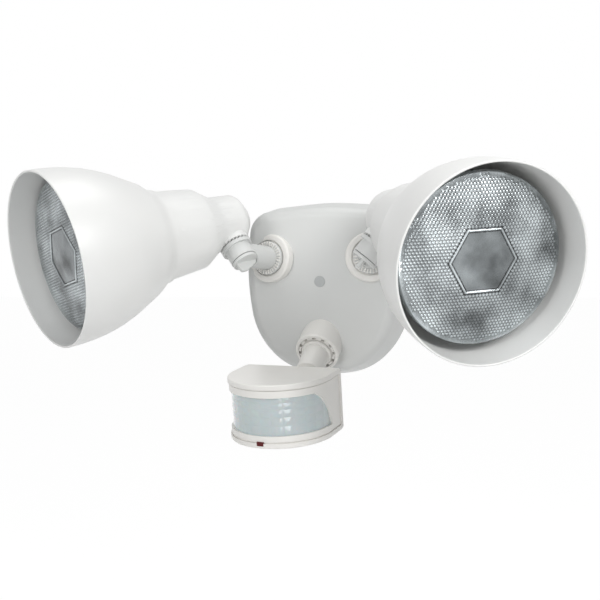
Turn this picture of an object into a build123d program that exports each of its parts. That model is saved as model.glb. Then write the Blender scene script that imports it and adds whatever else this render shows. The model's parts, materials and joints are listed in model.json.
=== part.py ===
from build123d import *
from math import cos, radians, sin, tan
import os

# Twin-lamp motion sensor security light, millimetres.
# +X is the viewer's right, +Y goes into the wall, +Z is up. The origin is on the wall
# plane, on the axis of the central mounting bolt, and the front of the light faces -Y.

# ---- canopy ----------------------------------------------------------------------
CANOPY_DEPTH = 38.0            # wall plane to the flat front
CANOPY_WALL = 2.5
CANOPY_DRAFT = 8.7             # degrees the side walls lean in towards the front
CANOPY_EDGE_R = 10.0           # rounding where the front meets the side walls
CANOPY_TOP = 72.2              # height of the shallow peak before it is rounded
CANOPY_SHOULDER = (71.0, 66.5)  # outline corners at the wall, right half: across, up
CANOPY_WIDEST = (77.6, 6.0)
CANOPY_HIP = (69.0, -50.0)
CANOPY_CHIN = (38.0, -82.0)
CANOPY_BOTTOM = -88.5
PEAK_R = 240.0                 # roundings of those corners
SHOULDER_R = 26.0
WIDEST_R = 215.0
HIP_R = 73.0
CHIN_R = 60.0
BOTTOM_R = 100.0
GASKET_WIDTH = 6.0
GASKET_DEPTH = 2.5
GASKET_FIT_CANOPY = 0.1

# ---- mounting hardware -----------------------------------------------------------
STRAP_LENGTH = 106.0
STRAP_WIDTH = 17.0
STRAP_THICKNESS = 2.0
BOX_SCREW_SPACING = 88.9       # centre to centre of the wall box's two screws
BOX_SLOT_WIDTH = 4.6
BOX_SLOT_LENGTH = 12.0
BOLT_R = 2.4
BOLT_HEAD_R = 4.2
BOLT_HEAD_HEIGHT = 3.0
BOLT_HOLE_CLEARANCE = 0.2
PLUG_R = 5.0
PLUG_PROUD = 0.5
PLUG_LENGTH = 3.4
POST_R = 8.0                   # hollow post behind the plug, which the bolt clamps
POST_LENGTH = 20.0
GROUND_SCREW_X = 24.0
GROUND_SCREW_R = 2.0
GROUND_HEAD_R = 4.0
GROUND_HEAD_HEIGHT = 2.4
GROUND_SCREW_LENGTH = 1.6

# ---- where the lamp arms leave the canopy, and how they are turned -----------------
BOSS_X = 46.8                  # boss centres on the front plane
BOSS_Z = 21.3
BOSS_TURN = 13.8               # degrees outward from straight ahead
BOSS_LIFT = 5.2                # degrees upward
ARM_ROLL = {"left": 51.4, "right": 50.2}    # swivel axis, down from level, at rest
LAMP_TILT = {"left": 24.9, "right": 28.6}   # beam axis away from the arm's axis
KNOB_TURN = {"left": 23.0, "right": 0.0}    # wing screw at rest, from the arm's axis
SIDE_SIGN = {"left": -1, "right": 1}

# ---- lamp arm boss and arm ---------------------------------------------------------
BOSS_HEIGHT = 3.0
BOSS_EDGE_R = 2.2
BOSS_INNER_R = 15.5            # part of the boss that reaches into the canopy
BOSS_INNER_DEPTH = 9.0
RECESS_FLOOR = 1.0
COLLAR_R = 14.9
COLLAR_ROOM = 1.7              # round the collar in the boss's recess
BOSS_LAND = 5.4                # flat ring round the recess
RECESS_R = COLLAR_R + COLLAR_ROOM
BOSS_R = RECESS_R + BOSS_LAND
COLLAR_THICKNESS = 4.1
COLLAR_EDGE = 0.5
RIB_COUNT = 24                 # grip ribs on the visible face of the arm's collar
RIB_HEIGHT = 0.7
RIB_WIDTH = 1.2
ARM_R = 10.5
ARM_REACH = 44.5               # boss centre to the cross barrel's axis
NIPPLE_R = 6.5
NIPPLE_LENGTH = 17.5
RUNNING_CLEARANCE = 0.08
WIRE_BORE_R = 4.4
NUT_ACROSS = 19.0
NUT_THICKNESS = 5.0
WASHER_R = 11.0
WASHER_THICKNESS = 1.2
BARREL_R = 11.6
BARREL_HALF = 9.4              # cross barrel: its axis crossing to the toothed end
FLANGE_R = 14.0
FLANGE_THICKNESS = 3.0
FLANGE_ROOM = 1.5              # cut back round the flange, so the lamp's boss can turn
TOOTH_COUNT = 24               # radial teeth of each swivel face
TOOTH_HEIGHT = 0.9
TOOTH_WIDTH = 1.2
TOOTH_INSET = 0.4              # teeth start inside the pad and stop short of the rim
TOOTH_GAP = 0.3                # tip to tip, so a lamp can turn with its screw slack
PAD_FIT = 0.04                 # between the plain pads inside the teeth, which bear
POCKET_R = 12.2                # pocket that the wing screw's disc turns in
POCKET_FLOOR = 5.6
WING_DISC_R = 11.2
WING_DISC_THICKNESS = 2.8
WING_GAP = 0.5
WING_FIN_HEIGHT = 8.4
WING_FIN_THICKNESS = 2.6
WING_FIN_WIDTH = 20.0
WING_SHANK_R = 2.4
SHANK_CLEARANCE = 0.08

# ---- lamp, in its own frame: Z along the beam, X along the swivel axis -------------
SWIVEL_OFFSET = 35.0           # beam axis to the arm's axis
HOUSING_CORNERS = ((13.5, -21.0), (23.4, -12.0), (24.7, 12.8), (34.6, 29.5))   # radius, level
HOUSING_ROUNDING = (7.0, 9.0, 9.0, 16.0)
HOUSING_MOUTH = (38.2, 66.0)
HOUSING_WALL = 2.2
SPIGOT_LENGTH = 7.0            # housing mouth that the hood's neck slips over
SPIGOT_WALL = 1.6
HOOD_WALL = 1.7
HOOD_NECK_R = 39.6
HOOD_OUTLINE = ((66.4, 39.6), (69.4, 40.0), (80.0, 46.4), (92.0, 52.7), (106.0, 59.2),
                (122.0, 64.8), (138.0, 68.2), (152.0, 69.5), (165.3, 69.7))
LAMP_BOSS_R = 14.0
LAMP_BOSS_INNER_X = 13.8
CLAMP_NUT_ACROSS = 8.0
CLAMP_NUT_THICKNESS = 3.2
DIMPLE_Z = 61.8                # small moulded dimple in the housing's flank
DIMPLE_ANGLE = 60.0
DIMPLE_R = 1.5
DIMPLE_DEPTH = 0.7

# ---- lampholder and bulb -----------------------------------------------------------
HOLDER_BASE = 9.6
HOLDER_FLOOR = 4.2
HOLDER_TOP = 41.0
HOLDER_EDGE = 1.2
SHELL_WALL = 0.6
SHELL_BASE = 17.0
SHELL_TOP = 40.5
CONTACT_R = 3.4
CONTACT_THICKNESS = 2.0
HOLDER_SCREW_Y = 8.6
HOLDER_SCREW_R = 1.5
HOLDER_SCREW_HEAD_R = 2.7
HOLDER_SCREW_HEAD = 1.6
HOLDER_SCREW_LENGTH = 12.0
HOLDER_POST_R = 3.6
BULB_TIP = 15.85               # base contact of the bulb
CAP_R = 13.1
CAP_FIT = 0.6                  # round the cap in the screw shell
HOLDER_WALL = 2.3              # porcelain round the screw shell
SHELL_R = CAP_R + CAP_FIT + SHELL_WALL
HOLDER_R = SHELL_R + HOLDER_WALL
CAP_START = 20.0
CAP_TIP_R = 4.5
CAP_INSULATOR = 1.8            # height of the insulating ring round the base contact
CAP_END = 41.5
BULB_NECK_R = 17.0
BULB_NECK_START = 46.0
BULB_NECK_END = 61.0
REFLECTOR_OUTLINE = ((61.0, 17.0), (66.0, 23.0), (76.0, 32.0), (90.0, 41.4), (108.0, 50.4),
                     (126.0, 56.6), (139.5, 59.8))
BULB_R = 60.3                  # 4.75 in across the face
BULB_GLASS = 1.6
LENS_SEAT = 141.0
LENS_EDGE = 145.8
LENS_DOME = 4.2
LENS_THICKNESS = 3.4
HEXAGON_R = 24.5               # raised hexagon in the middle of the lens
HEXAGON_HEIGHT = 1.0
HEXAGON_TURN = {"left": 2.0, "right": 12.0}
BURNER_R = 6.0
BURNER_TOP = 104.0
GASKET_START = 55.0
GASKET_THICKNESS = 4.0
GASKET_FIT = 0.3

# ---- sensor boss and arm, Z along the arm from the canopy's front ------------------
SENSOR_ARM_START = (0.0, -32.2, -52.8)
SENSOR_ARM_DROP = 30.0         # degrees below level
CUP_R = 19.5
CUP_HOLE_R = 16.6
CUP_TOP = 20.0
CUP_FLOOR = 7.4
CUP_BASE = -6.0
CUP_EDGE = 1.0
STEM_NIPPLE_R = 8.0
STEM_NIPPLE_END = -13.5
STEM_FLANGE_R = 15.8
STEM_FLANGE_THICKNESS = 3.4
STEM_R = 11.2
STEM_END = 49.0
STEM_TAPER = 60.0              # degrees, where the stem draws in to the ball's neck
STEM_RING_R = 13.4
STEM_RING_START = 19.0
STEM_RING_THICKNESS = 3.2
STEM_RING_EDGE = 0.8
SLOTTED_RING_R = 14.6
SLOT_COUNT = 8
SLOT_WIDTH = 3.4
SLOT_DEPTH = 4.0
SLOTTED_RING_TOP = 18.6
SENSOR_NUT_ACROSS = 24.0
SENSOR_NUT_THICKNESS = 5.0
BALL_REACH = 62.0
BALL_R = 8.0
BALL_STEM_R = 4.4
LINER_FIT = 0.05
LINER_WALL = 1.4
CLAMP_FIT = 0.05
CLAMP_R = 13.2
CLAMP_SLIT = 1.6
MOUTH_HALF_ANGLE = 66.0        # opening of the ball clamp, which the stem swings in
LINER_HALF_ANGLE = 56.0

# ---- sensor head, in its own frame: -Y is its front, Z up ---------------------------
HEAD_ORIGIN = (-5.2, -100.0, -93.6)
HEAD_TURN = -6.0               # degrees about Z, towards the viewer's left
HEAD_NOD = 6.0                 # degrees downward
HEAD_HALF_WIDTH = 43.15        # also the radius of its round front
HEAD_STRAIGHT = 19.75          # straight part of the sides
HEAD_HEIGHT = 50.6
HEAD_WALL = 2.5
HEAD_PLATE = 3.0
VISOR_THICKNESS = 5.05         # top plate and bottom lip, down to their grooves
VISOR_LIP = 0.9
HEAD_EDGE_R = 1.2
WINDOW_TOP = 14.7
WINDOW_BOTTOM = -15.6
WINDOW_FRONT_TOP = -38.0       # front-to-back positions of the window's swept end
WINDOW_MIDDLE = (-23.5, 0.0)
WINDOW_FRONT_BOTTOM = -16.5
BAND_GROOVE_WIDTH = 0.9
BAND_GROOVE_DEPTH = 0.7
LENS_SHEET = 1.0
LENS_MARGIN = 0.9
LENS_BACK = -9.0
FRAME_RAIL = 2.2
FRAME_DEPTH = 3.0
COVER_THICKNESS = 4.0
COVER_LIP = 1.2
COVER_LIP_DEPTH = 2.8
COVER_FIT = 0.2
BOARD_Y = -6.5
BOARD_THICKNESS = 1.6
BOARD_WIDTH = 66.0
BOARD_HEIGHT = 32.0
BOARD_POST_R = 2.6
BOARD_POST_X = 29.0
BOARD_POST_Z = 12.0
DETECTOR_R = 4.6
DETECTOR_HEIGHT = 4.4
RELAY_SIZE = (15.0, 12.0, 19.0)
RELAY_X = -21.0
PHOTOCELL_R = 2.6
PHOTOCELL_LENGTH = 2.2
PHOTOCELL_X = 14.0
LED_WIDTH = 6.0
LED_HEIGHT = 3.4
LED_Z = -21.6
LED_SUNK = 0.2
CONTROL_DEPTH = 2.2            # recess under the head for the switch and the dial
SWITCH_X = -13.0
SWITCH_Y = -30.0
SWITCH_SLOT = (17.0, 6.0)
SWITCH_KNOB = (5.0, 5.4)
DIAL_X = 15.0
DIAL_R = 5.0
DIAL_FIT = 0.3
DIAL_SHAFT_R = 1.5
DIAL_SLOT = 1.1
SWITCH_PROUD = 1.4
CASE_SCREW_X = 37.4
CASE_SCREW_Z = 19.8
CASE_SCREW_R = 1.4
CASE_SCREW_HEAD_R = 2.8
CASE_SCREW_HEAD = 1.8
CASE_SCREW_LENGTH = 13.0
CASE_POST_R = 3.2
CASE_POST_LENGTH = 13.0
EAR_SIZE = (14.0, 9.0, 9.0)    # pair of ears that squeeze the ball clamp
EAR_DROP = 16.5
CLAMP_SCREW_R = 1.6
CLAMP_SCREW_HEAD_R = 3.0
CLAMP_SCREW_HEAD = 2.0
CLAMP_SCREW_NUT = 5.5
CLAMP_SCREW_NUT_THICKNESS = 2.4

os.makedirs("parts", exist_ok=True)

WALL_PLANE = Plane(origin=(0, 0, 0), x_dir=(1, 0, 0), z_dir=(0, -1, 0))


def boss_axis(side):
    """Unit vector out of the canopy along one lamp arm."""
    turn = radians(BOSS_TURN)
    lift = radians(BOSS_LIFT)
    across = SIDE_SIGN[side] * sin(turn) * cos(lift)
    return Vector(across, -cos(turn) * cos(lift), sin(lift))


def swivel_axis(side):
    """Unit vector along the cross barrel, from the lamp towards the wing screw."""
    out = boss_axis(side)
    inward = Vector(0, 0, 1).cross(out).normalized() * -SIDE_SIGN[side]
    down = out.cross(inward) * SIDE_SIGN[side]
    roll = radians(ARM_ROLL[side])
    return inward * cos(roll) + down * sin(roll)


def beam_axis(side):
    """Unit vector along the lamp's beam."""
    out = boss_axis(side)
    outward_down = swivel_axis(side).cross(out) * -SIDE_SIGN[side]
    tilt = radians(LAMP_TILT[side])
    return out * cos(tilt) + outward_down * sin(tilt)


ARM_PLANES = {}
LAMP_PLANES = {}
KNOB_PLANES = {}
for side in SIDE_SIGN:
    boss_centre = Vector(SIDE_SIGN[side] * BOSS_X, -CANOPY_DEPTH, BOSS_Z)
    crossing = boss_centre + boss_axis(side) * ARM_REACH
    out = boss_axis(side)
    swivel = swivel_axis(side)
    knob_turn = radians(KNOB_TURN[side])
    knob_across = out * cos(knob_turn) + swivel.cross(out) * sin(knob_turn)
    ARM_PLANES[side] = Plane(boss_centre, x_dir=swivel, z_dir=out)
    LAMP_PLANES[side] = Plane(crossing - swivel * SWIVEL_OFFSET, x_dir=swivel, z_dir=beam_axis(side))
    KNOB_PLANES[side] = Plane(crossing, x_dir=knob_across, z_dir=swivel)

STEM_PLANE = Plane(origin=SENSOR_ARM_START, x_dir=(1, 0, 0),
                   z_dir=(0, -cos(radians(SENSOR_ARM_DROP)), -sin(radians(SENSOR_ARM_DROP))))
head_turn = radians(HEAD_TURN)
head_nod = radians(HEAD_NOD)
HEAD_PLANE = Plane(HEAD_ORIGIN, x_dir=(cos(head_turn), sin(head_turn), 0),
                   z_dir=(sin(head_turn) * sin(head_nod), -cos(head_turn) * sin(head_nod), cos(head_nod)))
BALL_CENTRE = STEM_PLANE.origin + STEM_PLANE.z_dir * BALL_REACH
STEM_INWARD = STEM_PLANE.z_dir * -1


def place(shape, name, planes):
    """Put one copy of a part on each side, on its own plane, and write its file."""
    for side in planes:
        with BuildPart(planes[side]) as piece:
            add(shape)
        piece.part.label = f"{side}_{name}"
        export_step(piece.part, f"parts/{side}_{name}.step")


def place_one(shape, name, plane):
    """Put a part modelled in its own frame on its plane, and write its file."""
    with BuildPart(plane) as piece:
        add(shape)
    piece.part.label = name
    export_step(piece.part, f"parts/{name}.step")


def canopy_outline(inset):
    """The canopy's outline at the wall, drawn in by an inset."""
    right = (CANOPY_SHOULDER, CANOPY_WIDEST, CANOPY_HIP, CANOPY_CHIN)
    corners = [(0, CANOPY_TOP), *right, (0, CANOPY_BOTTOM)]
    corners += [(-x, z) for x, z in reversed(right)]
    radii = [PEAK_R, SHOULDER_R, WIDEST_R, HIP_R, CHIN_R, BOTTOM_R, CHIN_R, HIP_R, WIDEST_R, SHOULDER_R]
    with BuildSketch() as outline:
        with BuildLine():
            Polyline(*corners, close=True)
        make_face()
        for (x, z), radius in zip(corners, radii):
            corner = outline.vertices().sort_by_distance(Vector(x, z, 0))[0]
            fillet(corner, radius)
        if inset > 0:
            offset(amount=-inset, kind=Kind.INTERSECTION)
    return outline.sketch


def tooth_ring(inner_radius, outer_radius, width, height, base, count):
    """Radial teeth or ribs standing on a flat ring, along +Z from the base level."""
    with BuildPart() as ring:
        with Locations((0, 0, base)):
            with PolarLocations((inner_radius + outer_radius) / 2, count):
                Box(outer_radius - inner_radius, width, height, align=(Align.CENTER, Align.CENTER, Align.MIN))
    return ring.part


def housing_profile(inset):
    """Half section of the lamp housing's round skin, closed on the axis, drawn in by an inset."""
    corners = [(radius - inset, level + inset * (level < 0)) for radius, level in HOUSING_CORNERS]
    with BuildSketch(Plane.XZ) as profile:
        with BuildLine():
            Polyline((0, corners[0][1]), *corners, (HOUSING_MOUTH[0] - inset, HOUSING_MOUTH[1]),
                     (0, HOUSING_MOUTH[1]), close=True)
        make_face()
        for (radius, level), rounding in zip(corners, HOUSING_ROUNDING):
            corner = profile.vertices().sort_by_distance(Vector(radius, 0, level))[0]
            fillet(corner, rounding)
    return profile.sketch


# ---- canopy and its mounting ---------------------------------------------------------
collar_top = RECESS_FLOOR + COLLAR_THICKNESS

with BuildPart() as lamp_boss:
    with Locations((0, 0, -BOSS_INNER_DEPTH / 2)):
        Cylinder(BOSS_R, BOSS_INNER_DEPTH / 2 + BOSS_HEIGHT, align=(Align.CENTER, Align.CENTER, Align.MIN))
    fillet(lamp_boss.edges().sort_by(Axis.Z)[-1], BOSS_EDGE_R)
    with Locations((0, 0, -BOSS_INNER_DEPTH)):
        Cylinder(BOSS_INNER_R, BOSS_INNER_DEPTH, align=(Align.CENTER, Align.CENTER, Align.MIN))

with BuildPart() as boss_recess:
    with BuildSketch(Plane.XY.offset(RECESS_FLOOR)):
        Circle(RECESS_R)
    extrude(amount=BOSS_R)
    with BuildSketch(Plane.XY.offset(-BOSS_INNER_DEPTH)):
        Circle(NIPPLE_R + RUNNING_CLEARANCE)
    extrude(amount=BOSS_INNER_DEPTH + BOSS_R)

with BuildPart() as canopy_cover:
    with BuildSketch(WALL_PLANE):
        add(canopy_outline(0))
    extrude(amount=CANOPY_DEPTH, taper=CANOPY_DRAFT)
    fillet(canopy_cover.faces().sort_by(Axis.Y)[0].edges(), CANOPY_EDGE_R)
    offset(amount=-CANOPY_WALL, openings=canopy_cover.faces().sort_by(Axis.Y)[-1])
    with BuildSketch(WALL_PLANE.offset(CANOPY_DEPTH - POST_LENGTH)):
        Circle(POST_R)
    extrude(amount=POST_LENGTH - CANOPY_WALL / 2)
    with BuildSketch(WALL_PLANE.offset(CANOPY_DEPTH)):
        Circle(PLUG_R)
    extrude(amount=-PLUG_LENGTH - BOLT_HEAD_HEIGHT, mode=Mode.SUBTRACT)
    with BuildSketch(WALL_PLANE.offset(CANOPY_DEPTH)):
        Circle(BOLT_R + BOLT_HOLE_CLEARANCE)
    extrude(amount=-CANOPY_DEPTH, mode=Mode.SUBTRACT)
    with Locations(*ARM_PLANES.values()):
        add(lamp_boss.part)
    with Locations(*ARM_PLANES.values()):
        add(boss_recess.part, mode=Mode.SUBTRACT)
    with BuildSketch(STEM_PLANE.offset(CUP_BASE)):
        Circle(CUP_R)
    extrude(amount=CUP_TOP - CUP_BASE)
    chamfer(canopy_cover.edges().filter_by(GeomType.CIRCLE).sort_by_distance(
        STEM_PLANE.origin + STEM_PLANE.z_dir * CUP_TOP * 1.5)[0], CUP_EDGE)
    with BuildSketch(STEM_PLANE.offset(CUP_FLOOR)):
        Circle(CUP_HOLE_R)
    extrude(amount=CUP_TOP, mode=Mode.SUBTRACT)
    with BuildSketch(STEM_PLANE.offset(CUP_BASE)):
        Circle(STEM_NIPPLE_R + RUNNING_CLEARANCE)
    extrude(amount=CUP_TOP - CUP_BASE, mode=Mode.SUBTRACT)
canopy_cover.part.label = "canopy_cover"
export_step(canopy_cover.part, "parts/canopy_cover.step")

gasket_inset = CANOPY_WALL / cos(radians(CANOPY_DRAFT)) + GASKET_DEPTH * tan(radians(CANOPY_DRAFT))
with BuildPart() as canopy_gasket:
    with BuildSketch(WALL_PLANE):
        add(canopy_outline(gasket_inset + GASKET_FIT_CANOPY))
        add(canopy_outline(gasket_inset + GASKET_FIT_CANOPY + GASKET_WIDTH), mode=Mode.SUBTRACT)
    extrude(amount=GASKET_DEPTH)
canopy_gasket.part.label = "canopy_gasket"
export_step(canopy_gasket.part, "parts/canopy_gasket.step")

with BuildPart() as mounting_strap:
    with BuildSketch(WALL_PLANE):
        Rectangle(STRAP_LENGTH, STRAP_WIDTH)
        with Locations((-BOX_SCREW_SPACING / 2, 0), (BOX_SCREW_SPACING / 2, 0)):
            SlotOverall(BOX_SLOT_LENGTH, BOX_SLOT_WIDTH, mode=Mode.SUBTRACT)
        Circle(BOLT_R, mode=Mode.SUBTRACT)
        with Locations((GROUND_SCREW_X, 0)):
            Circle(GROUND_SCREW_R, mode=Mode.SUBTRACT)
    extrude(amount=STRAP_THICKNESS)
mounting_strap.part.label = "mounting_strap"
export_step(mounting_strap.part, "parts/mounting_strap.step")

bolt_seat = CANOPY_DEPTH - PLUG_LENGTH - BOLT_HEAD_HEIGHT
with BuildPart() as mounting_bolt:
    with BuildSketch(WALL_PLANE):
        Circle(BOLT_R)
    extrude(amount=bolt_seat)
    with BuildSketch(WALL_PLANE.offset(bolt_seat)):
        Circle(BOLT_HEAD_R)
    extrude(amount=BOLT_HEAD_HEIGHT)
    with BuildSketch(WALL_PLANE.offset(bolt_seat + BOLT_HEAD_HEIGHT)):
        Rectangle(2 * BOLT_HEAD_R, 1.2)
    extrude(amount=-BOLT_HEAD_HEIGHT / 2, mode=Mode.SUBTRACT)
mounting_bolt.part.label = "mounting_bolt"
export_step(mounting_bolt.part, "parts/mounting_bolt.step")

with BuildPart() as bolt_plug:
    with BuildSketch(WALL_PLANE.offset(CANOPY_DEPTH - PLUG_LENGTH)):
        Circle(PLUG_R)
    extrude(amount=PLUG_LENGTH + PLUG_PROUD)
    fillet(bolt_plug.edges().sort_by(Axis.Y)[0], PLUG_PROUD * 0.8)
bolt_plug.part.label = "bolt_plug"
export_step(bolt_plug.part, "parts/bolt_plug.step")

with BuildPart() as ground_screw:
    with BuildSketch(WALL_PLANE.offset(STRAP_THICKNESS - GROUND_SCREW_LENGTH)):
        with Locations((GROUND_SCREW_X, 0)):
            Circle(GROUND_SCREW_R)
    extrude(amount=GROUND_SCREW_LENGTH)
    with BuildSketch(WALL_PLANE.offset(STRAP_THICKNESS)):
        with Locations((GROUND_SCREW_X, 0)):
            Circle(GROUND_HEAD_R)
    extrude(amount=GROUND_HEAD_HEIGHT)
    with BuildSketch(WALL_PLANE.offset(STRAP_THICKNESS + GROUND_HEAD_HEIGHT)):
        with Locations((GROUND_SCREW_X, 0)):
            Rectangle(2 * GROUND_HEAD_R, 1.0)
    extrude(amount=-GROUND_HEAD_HEIGHT / 2, mode=Mode.SUBTRACT)
ground_screw.part.label = "ground_screw"
export_step(ground_screw.part, "parts/ground_screw.step")

# ---- lamp arm: Z out of the canopy, X along the cross barrel --------------------------
tooth_inner_r = BOLT_HEAD_R + 2.4
rib_end = COLLAR_R - COLLAR_EDGE - TOOTH_INSET
flange_teeth = tooth_ring(tooth_inner_r - TOOTH_INSET, FLANGE_R - TOOTH_INSET, TOOTH_WIDTH,
                          TOOTH_HEIGHT, 0, TOOTH_COUNT)
barrel_face = BARREL_HALF - TOOTH_HEIGHT
flange_plane = Plane(origin=(-barrel_face, 0, ARM_REACH), x_dir=(0, 1, 0), z_dir=(-1, 0, 0))
pad_height = TOOTH_HEIGHT + (TOOTH_GAP - PAD_FIT) / 2

with BuildPart() as lamp_arm:
    with BuildSketch(Plane.XY.offset(RECESS_FLOOR - NIPPLE_LENGTH)):
        Circle(NIPPLE_R)
    extrude(amount=NIPPLE_LENGTH)
    with BuildSketch(Plane.XY.offset(RECESS_FLOOR)):
        Circle(COLLAR_R)
    extrude(amount=COLLAR_THICKNESS)
    chamfer(lamp_arm.edges().filter_by(GeomType.CIRCLE).sort_by(Axis.Z)[-1], COLLAR_EDGE)
    with BuildSketch(Plane.XY.offset(collar_top)):
        Circle(ARM_R)
    extrude(amount=ARM_REACH - collar_top)
    with BuildSketch(flange_plane):
        Circle(BARREL_R)
    extrude(amount=-barrel_face - ARM_R)
    with BuildSketch(flange_plane):
        Circle(FLANGE_R)
    extrude(amount=-FLANGE_THICKNESS)
    with BuildSketch(flange_plane):
        Circle(FLANGE_R + FLANGE_ROOM)
    extrude(amount=ARM_R, mode=Mode.SUBTRACT)
    with BuildSketch(flange_plane):
        Circle(tooth_inner_r)
    extrude(amount=pad_height)
    with BuildSketch(flange_plane.offset(-barrel_face - POCKET_FLOOR)):
        Circle(POCKET_R)
    extrude(amount=-POCKET_R, mode=Mode.SUBTRACT)
    with BuildSketch(flange_plane.offset(pad_height)):
        Circle(WING_SHANK_R + SHANK_CLEARANCE)
    extrude(amount=-BARREL_HALF * 2.5, mode=Mode.SUBTRACT)
    with BuildSketch(Plane.XY.offset(RECESS_FLOOR - NIPPLE_LENGTH)):
        Circle(WIRE_BORE_R)
    extrude(amount=NIPPLE_LENGTH + ARM_REACH - BARREL_R, mode=Mode.SUBTRACT)
    add(tooth_ring(ARM_R - TOOTH_INSET, rib_end, RIB_WIDTH, RIB_HEIGHT, collar_top, RIB_COUNT))
    with Locations(flange_plane):
        add(flange_teeth)
place(lamp_arm.part, "arm", ARM_PLANES)

with BuildPart() as arm_washer:
    with BuildSketch(Plane.XY.offset(-BOSS_INNER_DEPTH - WASHER_THICKNESS)):
        Circle(WASHER_R)
        Circle(NIPPLE_R, mode=Mode.SUBTRACT)
    extrude(amount=WASHER_THICKNESS)
place(arm_washer.part, "arm_washer", ARM_PLANES)

nut_level = -BOSS_INNER_DEPTH - WASHER_THICKNESS - NUT_THICKNESS
with BuildPart() as arm_nut:
    with BuildSketch(Plane.XY.offset(nut_level)):
        RegularPolygon(NUT_ACROSS / 2, 6, major_radius=False)
        Circle(NIPPLE_R, mode=Mode.SUBTRACT)
    extrude(amount=NUT_THICKNESS)
place(arm_nut.part, "arm_nut", ARM_PLANES)

# Wing screw: Z along the cross barrel, out of the pocket.
disc_base = POCKET_FLOOR + WING_GAP
nut_inner = LAMP_BOSS_INNER_X - SWIVEL_OFFSET
with BuildPart() as wing_screw:
    with BuildSketch(Plane.XY.offset(disc_base)):
        Circle(WING_DISC_R)
    extrude(amount=WING_DISC_THICKNESS)
    fillet(wing_screw.edges().sort_by(Axis.Z)[-1], 0.8)
    with BuildSketch(Plane.XY.offset(POCKET_FLOOR)):
        Circle(WING_SHANK_R * 1.6)
    extrude(amount=WING_GAP)
    with BuildSketch(Plane.XY.offset(nut_inner)):
        Circle(WING_SHANK_R)
    extrude(amount=disc_base - nut_inner)
    fin_base = disc_base + WING_DISC_THICKNESS
    with BuildSketch(Plane.XZ) as fin:
        with BuildLine():
            Polyline((-WING_FIN_WIDTH / 2, fin_base - 0.5), (WING_FIN_WIDTH / 2, fin_base - 0.5),
                     (WING_FIN_WIDTH * 0.46, fin_base + WING_FIN_HEIGHT),
                     (WING_FIN_WIDTH * 0.16, fin_base + WING_FIN_HEIGHT),
                     (-WING_FIN_WIDTH * 0.46, fin_base + WING_FIN_HEIGHT * 0.3), close=True)
        make_face()
        fillet(fin.vertices().sort_by(Axis.Y)[2:], 1.4)
    extrude(amount=WING_FIN_THICKNESS / 2, both=True)
place(wing_screw.part, "wing_screw", KNOB_PLANES)

# ---- lamp: Z along the beam, X along the swivel axis -----------------------------------
mouth_r, mouth_level = HOUSING_MOUTH
spigot_r = HOOD_NECK_R - HOOD_WALL
lamp_boss_face = SWIVEL_OFFSET - BARREL_HALF - TOOTH_GAP - TOOTH_HEIGHT
lamp_boss_plane = Plane(origin=(lamp_boss_face, 0, 0), x_dir=(0, 1, 0), z_dir=(1, 0, 0))
rear_end = HOUSING_CORNERS[0][1]
rear_inside = rear_end + HOUSING_WALL
nut_seat = LAMP_BOSS_INNER_X + CLAMP_NUT_THICKNESS
dimple_angle = radians(DIMPLE_ANGLE)
dimple_plane = Plane(origin=(0, 0, DIMPLE_Z), x_dir=(0, 0, 1),
                     z_dir=(cos(dimple_angle), sin(dimple_angle), 0))

with BuildPart() as socket_housing:
    add(housing_profile(0))
    revolve(axis=Axis.Z)
    with BuildSketch(Plane.XY.offset(mouth_level)):
        Circle(spigot_r)
    extrude(amount=SPIGOT_LENGTH)
    with BuildSketch(Plane.XY.offset(mouth_level - HOUSING_WALL)):
        Circle(spigot_r - SPIGOT_WALL)
    extrude(amount=SPIGOT_LENGTH + HOUSING_WALL, mode=Mode.SUBTRACT)
    add(housing_profile(HOUSING_WALL))
    revolve(axis=Axis.Z, mode=Mode.SUBTRACT)
    with BuildSketch(Plane(origin=(nut_seat, 0, 0), x_dir=(0, 1, 0), z_dir=(1, 0, 0))):
        Circle(LAMP_BOSS_R)
    extrude(amount=SWIVEL_OFFSET, mode=Mode.SUBTRACT)
    with BuildSketch(lamp_boss_plane):
        Circle(LAMP_BOSS_R)
    extrude(amount=-(lamp_boss_face - nut_seat))
    with BuildSketch(lamp_boss_plane):
        Circle(tooth_inner_r)
    extrude(amount=pad_height)
    with BuildSketch(lamp_boss_plane):
        Circle(WING_SHANK_R + SHANK_CLEARANCE)
    extrude(amount=-SWIVEL_OFFSET / 2, both=True, mode=Mode.SUBTRACT)
    with BuildSketch(Plane.XY.offset(rear_inside - HOUSING_WALL / 2)):
        with Locations((0, -HOLDER_SCREW_Y), (0, HOLDER_SCREW_Y)):
            Circle(HOLDER_POST_R)
    extrude(amount=HOLDER_BASE - rear_inside + HOUSING_WALL / 2)
    with BuildSketch(Plane.XY.offset(HOLDER_BASE)):
        with Locations((0, -HOLDER_SCREW_Y), (0, HOLDER_SCREW_Y)):
            Circle(HOLDER_SCREW_R)
    extrude(amount=-HOLDER_SCREW_LENGTH + HOLDER_FLOOR, mode=Mode.SUBTRACT)
    with Locations(lamp_boss_plane):
        add(flange_teeth)
    with BuildSketch(dimple_plane.offset(mouth_r - DIMPLE_DEPTH)):
        Circle(DIMPLE_R)
    extrude(amount=DIMPLE_R * 2, mode=Mode.SUBTRACT)
place(socket_housing.part, "socket_housing", LAMP_PLANES)

with BuildPart() as clamp_nut:
    with BuildSketch(Plane(origin=(LAMP_BOSS_INNER_X, 0, 0), x_dir=(0, 1, 0), z_dir=(1, 0, 0))):
        RegularPolygon(CLAMP_NUT_ACROSS / 2, 6, major_radius=False)
        Circle(WING_SHANK_R + SHANK_CLEARANCE, mode=Mode.SUBTRACT)
    extrude(amount=CLAMP_NUT_THICKNESS)
place(clamp_nut.part, "clamp_nut", LAMP_PLANES)

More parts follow.
